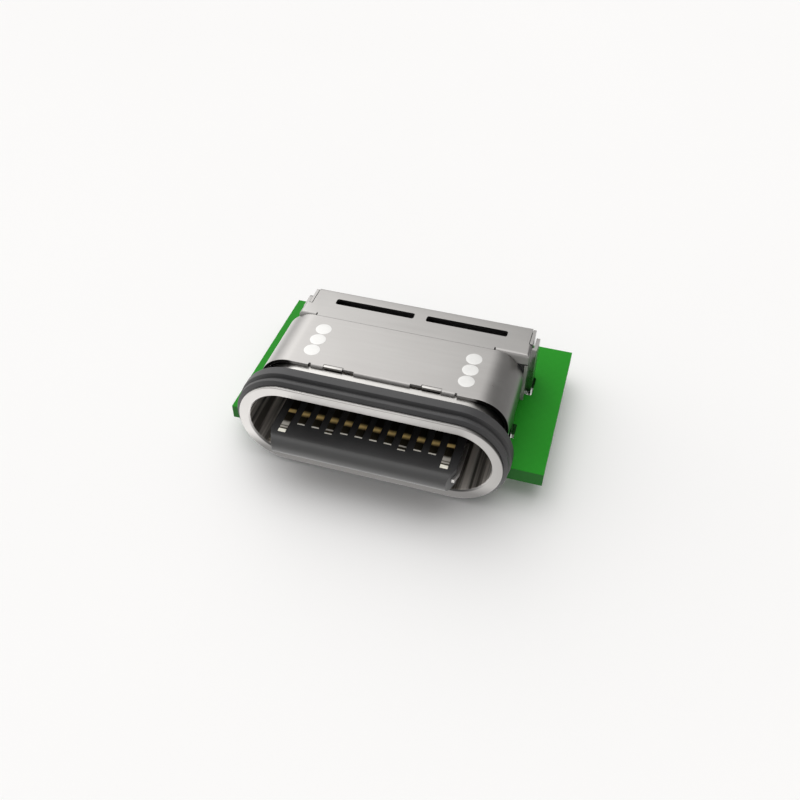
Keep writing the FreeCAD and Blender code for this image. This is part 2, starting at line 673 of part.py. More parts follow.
def round_rear_folds(doc, body, base):
    """Round the folds from the top plate to the side walls, the back wall and the tabs."""
    top = amount(base, REAR_TOP)
    sides = (amount(base, WIDE_LEFT), amount(base, WIDE_RIGHT))
    front = amount(base, REAR_FRONT)
    back = amount(base, REAR_BACK)
    tab = amount(base, SHOULDER_INNER)

    def fold(edge):
        middle = edge.CenterOfMass
        on_side = any(same(middle.x, side) for side in sides)
        side_fold = runs_along(edge, "y") and on_side
        back_fold = runs_along(edge, "x") and same(middle.y, back)
        on_tab = same(middle.y, front) and abs(middle.x) > tab
        tab_fold = runs_along(edge, "x") and on_tab
        return same(middle.z, top) and (side_fold or back_fold or tab_fold)

    dress(doc, body, "Fillet", base, fold, REAR_BEND)


def add_side_wing(doc, body, side, place, step):
    """Step a side wall outwards behind the wide plate, with a round corner and a leg."""
    wing_top = f"({REAR_TOP} - {REAR_BEND})"
    joggle = level(body, f"{side}_joggle", BOARD_TOP)
    rectangle(joggle, step[0], f"{NECK_FRONT} - Sizes.rear_wall", step[1], NECK_FRONT)
    pad_along(body, joggle, f"{wing_top} - {BOARD_TOP}")
    wing = upright(body, f"{side}_wing", place)
    rectangle(wing, f"{NECK_FRONT} - Sizes.rear_wall", BOARD_TOP, SIDE_BACK, wing_top)
    carried = pad_along(body, wing, "Sizes.rear_wall")
    back = amount(wing, SIDE_BACK)
    top = amount(wing, wing_top)
    middle_x = amount(wing, f"{place} + Sizes.rear_wall / 2")

    def back_corner(edge):
        middle = edge.CenterOfMass
        on_corner = same(middle.y, back) and same(middle.z, top)
        return runs_along(edge, "x") and on_corner and same(middle.x, middle_x)

    dress(doc, body, "Fillet", carried, back_corner, "Sizes.side_round")
    leg = upright(body, f"{side}_leg", place)
    leg_outline(leg, REAR_LEG_FRONT, REAR_LEG_BACK, BOARD_TOP)
    pad_along(body, leg, "Sizes.rear_wall")


def add_flap(body, side, place):
    """Fold a flap forward from the back wall, up beside the narrower plate."""
    front = f"({NECK_FRONT} + Sizes.flap_slit)"
    flap = upright(body, f"{side}_flap", place)
    loop(
        flap,
        (
            (front, BOARD_TOP),
            (REAR_BACK, BOARD_TOP),
            (REAR_BACK, f"{REAR_TOP} - {REAR_BEND}"),
            (f"{REAR_BACK} - {REAR_BEND}", REAR_TOP),
            (front, REAR_TOP),
        ),
    )
    pad_along(body, flap, "Sizes.flap_wall")


def hang_shoulders(body):
    """Hang a tab from each end of the plate's front edge, with a slit to the side wall."""
    shoulders = across(body, "shoulders", REAR_FRONT)
    rectangle(shoulders, SHOULDER_INNER, SHOULDER_FOOT, WIDE_RIGHT, REAR_UNDER)
    rectangle(shoulders, WIDE_LEFT, SHOULDER_FOOT, negative(SHOULDER_INNER), REAR_UNDER)
    pad_inward(body, shoulders, "Sizes.rear_wall")
    slits = across(body, "shoulder_slits", REAR_FRONT)
    low = f"({SHOULDER_FOOT} - Sizes.shoulder_slit)"
    rectangle(slits, f"{WIDE_RIGHT} - Sizes.rear_wall", low, WIDE_RIGHT, SHOULDER_FOOT)
    rectangle(slits, WIDE_LEFT, low, f"{WIDE_LEFT} + Sizes.rear_wall", SHOULDER_FOOT)
    return cut_inward(body, slits, "Sizes.rear_wall")


def punch_slots(doc, body):
    """Punch the two long slots through the plate, with rounded corners."""
    shift = "Sizes.rear_offset"
    slots = level(body, "slots", REAR_TOP)
    rectangle(slots, f"{shift} + {SLOT_INNER}", SLOT_FRONT, f"{shift} + {SLOT_OUTER}", SLOT_BACK)
    rectangle(slots, f"{shift} - {SLOT_OUTER}", SLOT_FRONT, f"{shift} - {SLOT_INNER}", SLOT_BACK)
    punched = cut_against(body, slots, "Sizes.rear_wall")
    ends = (amount(slots, SLOT_INNER), amount(slots, SLOT_OUTER))
    sides = (amount(slots, SLOT_FRONT), amount(slots, SLOT_BACK))
    middle_x = amount(slots, shift)
    middle_z = amount(slots, f"{REAR_TOP} - Sizes.rear_wall / 2")

    def slot_corner(edge):
        middle = edge.CenterOfMass
        on_end = any(same(abs(middle.x - middle_x), end) for end in ends)
        on_side = any(same(middle.y, side) for side in sides)
        in_plate = same(middle.z, middle_z)
        return runs_along(edge, "z") and on_end and on_side and in_plate

    dress(doc, body, "Fillet", punched, slot_corner, "Sizes.slot_corner")


def make_rear_shell(doc):
    """Folded rear shell: slotted top plate, side walls with legs, back wall with flaps."""
    body = new_body(doc, "rear_shell")
    right_wall = f"({WIDE_RIGHT} - Sizes.rear_wall)"
    left_step = (REAR_LEFT, f"({WIDE_LEFT} + Sizes.rear_wall)")
    wings = (
        ("right", f"({REAR_RIGHT} - Sizes.rear_wall)", (right_wall, REAR_RIGHT)),
        ("left", REAR_LEFT, left_step),
    )
    flaps = (
        ("right", f"(Sizes.rear_offset + {FLAP_INNER})"),
        ("left", f"(Sizes.rear_offset - {FLAP_OUTER})"),
    )
    lay_rear_plate(body)
    for side, place in (("right", right_wall), ("left", WIDE_LEFT)):
        wall = upright(body, f"{side}_wall", place)
        rectangle(wall, REAR_FRONT, BOARD_TOP, NECK_FRONT, REAR_TOP)
        pad_along(body, wall, "Sizes.rear_wall")
    stand_back_wall(body)
    slit = hang_shoulders(body)
    round_rear_folds(doc, body, slit)
    for side, place, step in wings:
        add_side_wing(doc, body, side, place, step)
    for side, place in flaps:
        add_flap(body, side, place)
    punch_slots(doc, body)
    return body


def lay_tongue(doc, body):
    """Lay the tongue: bevelled corners, a rounded nose and a latch notch in each side."""
    bevel_back = f"({NOSE} + Sizes.nose_bevel_length)"
    bevel_side = f"({TONGUE_HALF} - Sizes.nose_bevel)"
    right = (
        (bevel_side, NOSE),
        (TONGUE_HALF, bevel_back),
        (TONGUE_HALF, LATCH_FRONT),
        (LATCH_FLOOR, LATCH_FRONT),
        (LATCH_FLOOR, LATCH_BACK),
        (TONGUE_HALF, LATCH_BACK),
        (TONGUE_HALF, PLUG_FACE),
    )
    left = tuple((negative(first), second) for first, second in reversed(right))
    tongue = level(body, "tongue", negative(TONGUE_TOP))
    loop(tongue, right + left)
    bar = pad_along(body, tongue, "Sizes.tongue_height")
    top = amount(tongue, TONGUE_TOP)
    nose = amount(tongue, NOSE)

    def nose_edge(edge):
        middle = edge.CenterOfMass
        on_nose = same(abs(middle.z), top) and same(middle.y, nose)
        return runs_along(edge, "x") and on_nose

    nose_round = "(Sizes.tongue_height - Sizes.nose_flat) / 2"
    dress(doc, body, "Fillet", bar, nose_edge, nose_round)


def make_moulding_blank(doc):
    """Insulator before its inserts: tongue, thick root, plug in the shell, block behind."""
    body = new_body(doc, "moulding_blank")
    lay_tongue(doc, body)
    root = across(body, "root", f"{PLUG_FACE} - Sizes.root_length")
    rectangle(root, negative(ROOT_HALF), negative(ROOT_TOP), ROOT_HALF, ROOT_TOP)
    pad_inward(body, root, "Sizes.root_length")
    plug = across(body, "plug", PLUG_FACE)
    stadium(plug, HALF_FLAT, f"{MOUTH_RADIUS} - Sizes.fit_gap")
    pad_inward(body, plug, f"{REAR_FRONT} - {PLUG_FACE}")
    block = across(body, "block", REAR_FRONT)
    rectangle(block, BLOCK_LEFT, BLOCK_UNDER, BLOCK_RIGHT, BLOCK_TOP)
    pad_inward(body, block, "Sizes.block_length")
    relief = across(body, "shoulder_relief", REAR_FRONT)
    tab_end = f"({SHOULDER_INNER} - Sizes.fit_gap)"
    tab_under = f"({SHOULDER_FOOT} - Sizes.fit_gap)"
    rectangle(relief, tab_end, tab_under, BLOCK_RIGHT, BLOCK_TOP)
    rectangle(relief, BLOCK_LEFT, tab_under, negative(tab_end), BLOCK_TOP)
    cut_inward(body, relief, "Sizes.rear_wall + Sizes.fit_gap")
    pocket = level(body, "slot_pocket", BLOCK_TOP)
    reach = f"({SLOT_OUTER} + Sizes.pocket_margin)"
    rectangle(
        pocket,
        f"Sizes.rear_offset - {reach}",
        f"{SLOT_FRONT} - Sizes.pocket_margin",
        f"Sizes.rear_offset + {reach}",
        BLOCK_BACK,
    )
    cut_against(body, pocket, "Sizes.pocket_depth")
    return body


def make_middle_plate(doc):
    """Steel plate between the contact rows, notched for the plug's latches, with two legs."""
    body = new_body(doc, "middle_plate")
    right = (
        (f"{PLATE_HALF} - Sizes.plate_bevel", PLATE_FRONT),
        (PLATE_HALF, f"{PLATE_FRONT} + Sizes.plate_bevel_length"),
        (PLATE_HALF, LATCH_FRONT),
        (LATCH_FLOOR, LATCH_FRONT),
        (LATCH_FLOOR, LATCH_BACK),
        (PLATE_HALF, LATCH_BACK),
        (PLATE_LEG_OUTER, PLUG_FACE),
        (PLATE_LEG_OUTER, PLATE_BACK),
    )
    left = tuple((negative(first), second) for first, second in reversed(right))
    outline = level(body, "outline", "-Sizes.plate_wall / 2")
    loop(outline, right + left)
    pad_along(body, outline, "Sizes.plate_wall")
    legs = level(body, "legs", BOARD_TOP)
    front = f"({PLATE_BACK} - Sizes.plate_wall)"
    rectangle(legs, PLATE_LEG_INNER, front, PLATE_LEG_OUTER, PLATE_BACK)
    rectangle(legs, negative(PLATE_LEG_OUTER), front, negative(PLATE_LEG_INNER), PLATE_BACK)
    pad_along(body, legs, "Sizes.board_top + Sizes.plate_wall / 2")
    return body


def make_ground_pad(doc, name, flipped):
    """Ground pad: a strip on the tongue's root, turned up against the moulding's face."""
    body = new_body(doc, name)
    half = f"({ROOT_HALF} - Sizes.ground_inset)"
    front = f"({PLUG_FACE} - Sizes.ground_length)"
    bend = f"({PLUG_FACE} - Sizes.ground_wall)"
    face = f"({ROOT_TOP} + Sizes.ground_wall)"
    tip = f"({MOUTH_RADIUS} - Sizes.ground_clear)"
    corners = (
        (front, ROOT_TOP),
        (PLUG_FACE, ROOT_TOP),
        (PLUG_FACE, tip),
        (bend, tip),
        (bend, face),
        (front, face),
    )
    if flipped:
        corners = tuple((first, negative(second)) for first, second in corners)
    side = upright(body, "side", negative(half))
    loop(side, corners)
    pad_along(body, side, f"{half} * 2")
    return body


def front_end(number):
    """Return where a contact's face begins, by its place in the row."""
    if number in END_CONTACTS:
        return f"({NOSE} + Sizes.ground_setback)"
    if number in POWER_CONTACTS:
        return f"({NOSE} + Sizes.power_setback)"
    return f"({NOSE} + Sizes.signal_setback)"


def upper_outline(front):
    """Corners of an upper contact: along the tongue's top, down, and back along the board."""
    inner = f"({CONTACT_FACE} - Sizes.contact_wall)"
    drop_back = f"({UPPER_DROP} + Sizes.contact_wall)"
    return (
        (front, inner),
        (front, f"{inner} + Sizes.contact_tip"),
        (f"{front} + Sizes.contact_ramp", CONTACT_FACE),
        (drop_back, CONTACT_FACE),
        (drop_back, FOOT_TOP),
        (UPPER_FOOT_END, FOOT_TOP),
        (UPPER_FOOT_END, BOARD_TOP),
        (UPPER_DROP, BOARD_TOP),
        (UPPER_DROP, inner),
    )


def lower_outline(front):
    """Corners of a lower contact: along the tongue's underside, down, and a short foot."""
    inner = f"(-{CONTACT_FACE} + Sizes.contact_wall)"
    drop_back = f"({LOWER_DROP} + Sizes.contact_wall)"
    return (
        (front, inner),
        (drop_back, inner),
        (drop_back, FOOT_TOP),
        (LOWER_FOOT_END, FOOT_TOP),
        (LOWER_FOOT_END, BOARD_TOP),
        (LOWER_DROP, BOARD_TOP),
        (LOWER_DROP, negative(CONTACT_FACE)),
        (f"{front} + Sizes.contact_ramp", negative(CONTACT_FACE)),
        (front, f"{inner} - Sizes.contact_tip"),
    )


def make_contact(doc, row, number):
    """Bent strip: a flat face on the tongue, an upright in the moulding and a foot."""
    body = new_body(doc, f"{row}_contact_{number:02d}")
    side = upright(body, "side", "-Sizes.contact_width / 2")
    upper = row == "upper"
    front = front_end(number)
    loop(side, upper_outline(front) if upper else lower_outline(front))
    strip = pad_along(body, side, "Sizes.contact_width")
    drop = UPPER_DROP if upper else LOWER_DROP
    face = CONTACT_FACE if upper else f"(-{CONTACT_FACE} + Sizes.contact_wall)"
    shoulder = (amount(side, f"{drop} + Sizes.contact_wall"), amount(side, face))
    heel = (amount(side, drop), amount(side, BOARD_TOP))

    def bend(edge):
        middle = edge.CenterOfMass
        places = (shoulder, heel)
        here = any(same(middle.y, place[0]) and same(middle.z, place[1]) for place in places)
        return runs_along(edge, "x") and here

    dress(doc, body, "Fillet", strip, bend, "Sizes.contact_bend")
    pitches = number - 1 - PITCHES_TO_END
    body.setExpression("Placement.Base.x", f"Sizes.contact_pitch * {pitches}")
    return body


def make_sealing_resin(doc):
    """Resin poured behind the moulding to close the rear shell against water."""
    slab = doc.addObject("Part::Box", "sealing_resin")
    slab.Label = "sealing_resin"
    resin_back = f"({REAR_BACK} - Sizes.rear_wall - Sizes.fit_gap)"
    slab.setExpression("Length", f"{BLOCK_HALF} * 2")
    slab.setExpression("Width", f"{resin_back} - {BLOCK_BACK}")
    slab.setExpression("Height", f"{POCKET_FLOOR} - {BLOCK_UNDER}")
    slab.setExpression("Placement.Base.x", BLOCK_LEFT)
    slab.setExpression("Placement.Base.y", BLOCK_BACK)
    slab.setExpression("Placement.Base.z", BLOCK_UNDER)
    return slab


def cut_board_outline(body):
    """Lay the board: open at the front for the shell, notched for the cover's legs."""
    left = f"(-({SHELL_HALF} + Sizes.cut_clear + Sizes.board_left))"
    right = f"({SHELL_HALF} + Sizes.cut_clear + Sizes.board_right)"
    front = "Sizes.board_front"
    back = f"({UPPER_FOOT_END} + Sizes.board_tail)"
    cut = f"({SHELL_HALF} + Sizes.cut_clear)"
    cut_end = f"({SHELL_BACK} + Sizes.cut_behind)"
    notch = f"({COVER_HALF} + Sizes.leg_side_clear)"
    notch_front = f"({COVER_LEG_FRONT} - Sizes.leg_clear)"
    notch_back = f"({COVER_LEG_BACK} + Sizes.leg_clear)"
    right_cut = (
        (cut, cut_end),
        (cut, notch_back),
        (notch, notch_back),
        (notch, notch_front),
        (cut, notch_front),
        (cut, front),
    )
    left_cut = tuple((negative(first), second) for first, second in reversed(right_cut))
    outline = level(body, "outline", BOARD_BOTTOM)
    corners = right_cut + ((right, front), (right, back), (left, back), (left, front))
    loop(outline, corners + left_cut)
    pad_along(body, outline, "Sizes.board_wall")


def make_circuit_board(doc):
    """Board stub with the socket's cut-out and slots for the rear shell's legs."""
    body = new_body(doc, "circuit_board")
    cut_board_outline(body)
    front = f"({REAR_LEG_FRONT} - Sizes.leg_clear * 2)"
    back = f"({REAR_LEG_BACK} + Sizes.leg_clear)"
    outer = f"({REAR_HALF} + Sizes.rear_side_clear)"
    inner = f"({REAR_HALF} - Sizes.rear_wall - Sizes.rear_side_clear)"
    shift = "Sizes.rear_offset"
    slots = level(body, "leg_slots", BOARD_TOP)
    rectangle(slots, f"{shift} + {inner}", front, f"{shift} + {outer}", back)
    rectangle(slots, f"{shift} - {outer}", front, f"{shift} - {inner}", back)
    holes = cut_against(body, slots, "Sizes.board_wall")
    ends = (amount(slots, front), amount(slots, back))
    sides = (amount(slots, inner), amount(slots, outer))
    middle_x = amount(slots, shift)

    def slot_edge(edge):
        middle = edge.CenterOfMass
        on_end = any(same(middle.y, end) for end in ends)
        on_side = any(same(abs(middle.x - middle_x), side) for side in sides)
        return runs_along(edge, "z") and on_end and on_side

    dress(doc, body, "Fillet", holes, slot_edge, "Sizes.leg_clear")
    return body


def make_tongue_moulding(doc, blank, inserts):
    """Black moulding with the plate and both contact rows moulded into it."""
    bundle = doc.addObject("Part::Compound", "moulded_in")
    bundle.Links = inserts
    moulding = doc.addObject("Part::Cut", "tongue_moulding")
    moulding.Label = "tongue_moulding"
    moulding.Base = blank
    moulding.Tool = bundle
    return moulding


def check(doc, pieces):
    """Stop if any object failed, or if a piece isn't one sound shape."""
    for item in doc.Objects:
        if "Invalid" in item.State or "Error" in item.State:
            raise RuntimeError(f"{item.Name} failed: {item.State}")
    for piece in pieces:
        if piece.Shape.isNull() or not piece.Shape.isValid():
            raise RuntimeError(f"{piece.Label} has no sound shape")
        if len(piece.Shape.Solids) != 1:
            raise RuntimeError(f"{piece.Label} has {len(piece.Shape.Solids)} solids")


def main():
    """Build the socket on its board and write one file for each piece."""
    os.makedirs("parts", exist_ok=True)
    doc = FreeCAD.newDocument("sealed_socket")
    make_sheet(doc)
    plate = make_middle_plate(doc)
    contacts = [
        make_contact(doc, row, number)
        for row in ("upper", "lower")
        for number in range(1, CONTACTS_IN_ROW + 1)
    ]
    blank = make_moulding_blank(doc)
    pieces = [
        make_mouth_shell(doc),
        make_seal_ring(doc),
        make_cover_bracket(doc),
        make_rear_shell(doc),
        make_tongue_moulding(doc, blank, [plate] + contacts),
        plate,
        make_ground_pad(doc, "upper_ground_pad", flipped=False),
        make_ground_pad(doc, "lower_ground_pad", flipped=True),
        make_sealing_resin(doc),
        make_circuit_board(doc),
    ] + contacts
    doc.recompute()
    check(doc, pieces)
    for piece in pieces:
        piece.Shape.exportStep(os.path.join("parts", f"{piece.Label}.step"))
        print(f"{piece.Label}: {piece.Shape.Volume:.4f} mm3")


main()
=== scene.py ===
import logging
import math
from dataclasses import dataclass
from enum import Enum
from typing import Any, Iterable, Mapping, Sequence

import bmesh
import bpy
import numpy as np
from bpy.types import Material, Mesh, Node, NodeSocket, Object, World
from mathutils import Matrix, Vector


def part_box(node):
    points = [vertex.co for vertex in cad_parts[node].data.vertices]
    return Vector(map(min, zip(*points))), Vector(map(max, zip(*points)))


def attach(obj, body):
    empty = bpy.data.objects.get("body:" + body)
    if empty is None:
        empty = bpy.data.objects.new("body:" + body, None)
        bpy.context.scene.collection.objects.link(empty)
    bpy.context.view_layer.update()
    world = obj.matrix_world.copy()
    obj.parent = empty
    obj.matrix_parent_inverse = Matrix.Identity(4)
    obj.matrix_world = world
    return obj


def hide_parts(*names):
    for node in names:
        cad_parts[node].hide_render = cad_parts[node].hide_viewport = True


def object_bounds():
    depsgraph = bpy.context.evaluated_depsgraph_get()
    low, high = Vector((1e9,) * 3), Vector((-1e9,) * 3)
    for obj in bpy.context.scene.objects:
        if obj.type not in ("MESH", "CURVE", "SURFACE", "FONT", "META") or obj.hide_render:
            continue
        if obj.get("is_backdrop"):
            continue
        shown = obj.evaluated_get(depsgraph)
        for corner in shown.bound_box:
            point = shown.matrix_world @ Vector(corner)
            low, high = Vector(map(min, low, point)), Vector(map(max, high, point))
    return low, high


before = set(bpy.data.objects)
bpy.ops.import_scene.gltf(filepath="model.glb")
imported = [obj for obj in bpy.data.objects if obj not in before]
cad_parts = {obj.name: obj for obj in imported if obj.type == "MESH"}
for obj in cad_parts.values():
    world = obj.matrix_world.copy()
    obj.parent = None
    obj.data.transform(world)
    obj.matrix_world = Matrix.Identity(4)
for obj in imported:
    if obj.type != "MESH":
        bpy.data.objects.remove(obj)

# Looks of a sealed receptacle on its circuit board: drawn steel mouth, rubber seal, folded
# cover and rear shell, black tongue with gold contacts. Lengths are in millimetres until a
# mesh is written. +X runs along the mouth, +Y into the socket, +Z up from the board.

MM = 0.001
SAME = 1e-4
MERGE = 0.0005
FLAT_TURN = 0.002
SHARP_TURN = 0.6
EDGE_STEPS = 3
FINE_GUARD = 0.002
BROAD_CLOUD = 260.0
LINE_SHARE = 0.35
ROOT = "root"

log = logging.getLogger("socket")

Faces = list[list[int]]
Shade = tuple[float, float, float]
Span = tuple[float, float]
Inputs = Mapping[str, Any]


class Slot(Enum):
    """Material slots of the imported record."""

    SHELL = "shell_steel"
    COVER = "cover_steel"
    SEAL = "seal_rubber"
    MOULDING = "black_moulding"
    GOLD = "gold_plate"
    RESIN = "resin"
    BOARD = "board_green"


class Signal:
    """A shader socket that takes part in plain arithmetic and adds its Math nodes itself."""

    def __init__(self, graph: "Graph", socket: NodeSocket) -> None:
        """Wrap a socket of a graph."""
        self.graph = graph
        self.socket = socket

    def _math(self, operation: str, first: Any, second: Any = None) -> "Signal":
        """Add one Math node and return its result."""
        operands = [first] if second is None else [first, second]
        inputs = dict(enumerate(operands))
        node = self.graph.node("ShaderNodeMath", {"operation": operation}, inputs)
        return Signal(self.graph, node.outputs[0])

    def __add__(self, other: Any) -> "Signal":
        """self + other."""
        return self._math("ADD", self, other)

    __radd__ = __add__

    def __sub__(self, other: Any) -> "Signal":
        """self - other."""
        return self._math("SUBTRACT", self, other)

    def __rsub__(self, other: Any) -> "Signal":
        """other - self."""
        return self._math("SUBTRACT", other, self)

    def __mul__(self, other: Any) -> "Signal":
        """self * other."""
        return self._math("MULTIPLY", self, other)

    __rmul__ = __mul__

    def magnitude(self) -> "Signal":
        """The value without its sign."""
        return self._math("ABSOLUTE", self)

    def smooth_between(self, low: float, high: float) -> "Signal":
        """Rise from 0 to 1 between two values, with soft ends.

        Args:
            low: value that gives 0.
            high: value that gives 1.

        Returns:
            The risen value.
        """
        settings = {"interpolation_type": "SMOOTHSTEP"}
        node = self.graph.node("ShaderNodeMapRange", settings, {0: self, 1: low, 2: high})
        return Signal(self.graph, node.outputs[0])

    def straight_between(self, low: float, high: float) -> "Signal":
        """Rise evenly from 0 to 1 between two values."""
        node = self.graph.node("ShaderNodeMapRange", None, {0: self, 1: low, 2: high})
        return Signal(self.graph, node.outputs[0])

    def wave(self) -> "Signal":
        """Sine of the value."""
        return self._math("SINE", self)

    def at_least(self, limit: float) -> "Signal":
        """The value, or the limit where the value is lower."""
        return self._math("MAXIMUM", self, limit)

    def root(self) -> "Signal":
        """Square root of the value."""
        return self._math("SQRT", self)


class Graph:
    """A material's or world's node tree and the one method that adds its nodes."""

    def __init__(self, owner: Material | World) -> None:
        """Empty the owner's tree and start it afresh."""
        owner.use_nodes = True
        self.tree = owner.node_tree
        self.tree.nodes.clear()

    def node(
        self,
        kind: str,
        settings: Mapping[str, Any] | None = None,
        inputs: Mapping[int | str, Any] | None = None,
    ) -> Node:
        """Add one node.

        Args:
            kind: the node's type name.
            settings: properties set before the inputs; "stops" fills a colour ramp.
            inputs: values, signals or sockets for the node's inputs.

        Returns:
            The new node.
        """
        node = self.tree.nodes.new(kind)
        for name, value in (settings or {}).items():
            if name == "stops":
                self._fill_ramp(node, value)
            else:
                setattr(node, name, value)
        for key, value in (inputs or {}).items():
            socket = node.inputs[key]
            if isinstance(value, Signal):
                self.tree.links.new(value.socket, socket)
            elif isinstance(value, NodeSocket):
                self.tree.links.new(value, socket)
            else:
                socket.default_value = value
        return node

    @staticmethod
    def _fill_ramp(node: Node, stops: Sequence[tuple[float, Sequence[float]]]) -> None:
        """Give a colour ramp its stops as pairs of place and colour."""
        elements = node.color_ramp.elements
        while len(elements) < len(stops):
            elements.new(1.0)
        for element, (place, colour) in zip(elements, stops):
            element.position = place
            element.color = (*colour, 1.0)

    def position(self) -> NodeSocket:
        """The object's own coordinates, which patterns are laid out on."""
        return self.node("ShaderNodeTexCoord").outputs["Object"]

    def millimetres(self, axis: int) -> Signal:
        """One coordinate of the place on the object, in millimetres."""
        separate = self.node("ShaderNodeSeparateXYZ", None, {0: self.position()})
        return Signal(self, separate.outputs[axis]) * (1 / MM)

    def facing(self, axis: int) -> Signal:
        """How much the surface faces along one axis, from -1 to 1."""
        normal = self.node("ShaderNodeTexCoord").outputs["Normal"]
        separate = self.node("ShaderNodeSeparateXYZ", None, {0: normal})
        return Signal(self, separate.outputs[axis])

    def stretched(self, scale: Sequence[float]) -> NodeSocket:
        """Coordinates scaled apart along each axis."""
        inputs = {"Vector": self.position(), "Scale": tuple(scale)}
        return self.node("ShaderNodeMapping", None, inputs).outputs[0]

    def noise(self, scale: float, detail: float, vector: NodeSocket | None = None) -> Signal:
        """Cloudy noise between 0 and 1.

        Args:
            scale: cells for each unit of the coordinates.
            detail: number of finer layers.
            vector: coordinates, the object's own if left out.

        Returns:
            The noise's value.
        """
        place = vector if vector is not None else self.position()
        inputs = {"Vector": place, "Scale": scale, "Detail": detail}
        return Signal(self, self.node("ShaderNodeTexNoise", None, inputs).outputs["Fac"])

    def ramp(self, factor: Signal, stops: Sequence[tuple[float, Sequence[float]]]) -> NodeSocket:
        """Colour by a factor through a ramp."""
        return self.node("ShaderNodeValToRGB", {"stops": stops}, {0: factor}).outputs[0]

    def mix(self, factor: Any, first: Any, second: Any) -> NodeSocket:
        """Blend two colours by a factor."""
        settings = {"data_type": "RGBA"}
        node = self.node("ShaderNodeMix", settings, {0: factor, 6: first, 7: second})
        return node.outputs[2]

    def bump(self, height: Signal, distance: float) -> NodeSocket:
        """Normals for a small relief whose height is in millimetres."""
        inputs = {"Height": height, "Distance": distance * MM, "Strength": 1.0}
        return self.node("ShaderNodeBump", None, inputs).outputs[0]

    def brushed(
        self, grain: Sequence[float], dark: Shade, light: Shade
    ) -> tuple[Signal, Signal, NodeSocket]:
        """Skin of a rolled or drawn metal.

        The lines are noise drawn out along the grain. The shade follows LINE_SHARE of them
        and a broad cloud for the rest.

        Args:
            grain: cells of the lines for each metre of X, Y and Z.
            dark: the darkest shade.
            light: the lightest shade.

        Returns:
            The lines, the cloud and the shade.
        """
        lines = self.noise(1.0, 3.0, self.stretched(grain))
        cloud = self.noise(BROAD_CLOUD, 3.0)
        mixed = lines * LINE_SHARE + cloud * (1 - LINE_SHARE)
        return lines, cloud, self.ramp(mixed, ((0.3, dark), (0.7, light)))

    def mottled(self, cloud: Signal, shade: Shade, darker: float) -> NodeSocket:
        """A shade that falls to a darker share of itself where a cloud is low."""
        low = tuple(darker * part for part in shade)
        return self.ramp(cloud, ((0.3, low), (0.7, shade)))

    def finish_surface(self, inputs: Inputs) -> None:
        """Close the tree with a Principled surface."""
        surface = self.node("ShaderNodeBsdfPrincipled", None, inputs)
        output = self.node("ShaderNodeOutputMaterial")
        self.tree.links.new(surface.outputs[0], output.inputs[0])


def colour(red: float, green: float, blue: float) -> tuple[float, float, float, float]:
    """An opaque linear colour."""
    return (red, green, blue, 1.0)


class Finish:
    """A finish that makes its own material."""

    name: str

    def material(self) -> Material:
        """Make the material."""
        made = bpy.data.materials.new(self.name)
        graph = Graph(made)
        graph.finish_surface(self.surface(graph))
        return made

    def surface(self, graph: Graph) -> Inputs:
        """Inputs of the surface."""
        raise NotImplementedError


@dataclass(frozen=True)
class FoldedSteel(Finish):
    """Rolled sheet with fine lines and a little unevenness, whose front faces take another tone,
    which holds painted light and painted shade.
    """

    name: str
    light: Shade
    dark: Shade
    satin_and_painted_tone: Shade = (0.37, 0.36, 0.35)
    satin_metal: float = 0.25
    roughness: float = 0.30
    unevenness: float = 0.10
    relief: float = 0.0015
    grain: tuple[float, float, float] = (350, 5200, 5200)

    def surface(self, graph: Graph) -> Inputs:
        """Inputs of the surface."""
        lines, cloud, skin = graph.brushed(self.grain, self.dark, self.light)
        # The front faces' tone holds painted light and painted shade, and on the cover it is partly
        # the cut edges' own finish.
        face, satin_and_painted_tone, tone = self._front(graph)
        return {
            "Base Color": graph.mix(face, skin, tone),
            "Metallic": 1.0 - satin_and_painted_tone * (1.0 - self.satin_metal),
            "Roughness": (lines + cloud - 1.0) * self.unevenness + self.roughness,
            "Normal": graph.bump(lines, self.relief),
        }

    def _front(self, graph: Graph) -> tuple[Signal, Signal, Any]:
        """Where the front faces lie, where they are less metallic, and their tone, which holds
        painted light and painted shade.
        """
        raise NotImplementedError


@dataclass(frozen=True)
class SheetSteel(FoldedSteel):
    """Sheet folded into the cover: a satin tone on the front faces between the bends, partly the
    cut edge's own finish and partly painted shade, and a near-black painted shade on the front
    faces past the bends.
    """

    # Painted shade: the near-black tone of the front faces past the bends, where the gap between
    # cover and seal lies in shadow.
    cut: Shade = (0.012, 0.012, 0.012)
    front_facing: Span = (-0.35, -0.90)
    bends: Span = (3.10, 3.30)

    def _front(self, graph: Graph) -> tuple[Signal, Signal, Any]:
        """Every face that looks forwards: the satin tone between the bends, near-black painted
        shade past them.
        """
        edge = graph.facing(1).smooth_between(*self.front_facing)
        outer = graph.millimetres(0).magnitude().smooth_between(*self.bends)
        tone = graph.mix(outer, colour(*self.satin_and_painted_tone), colour(*self.cut))
        return edge, edge * (1.0 - outer), tone


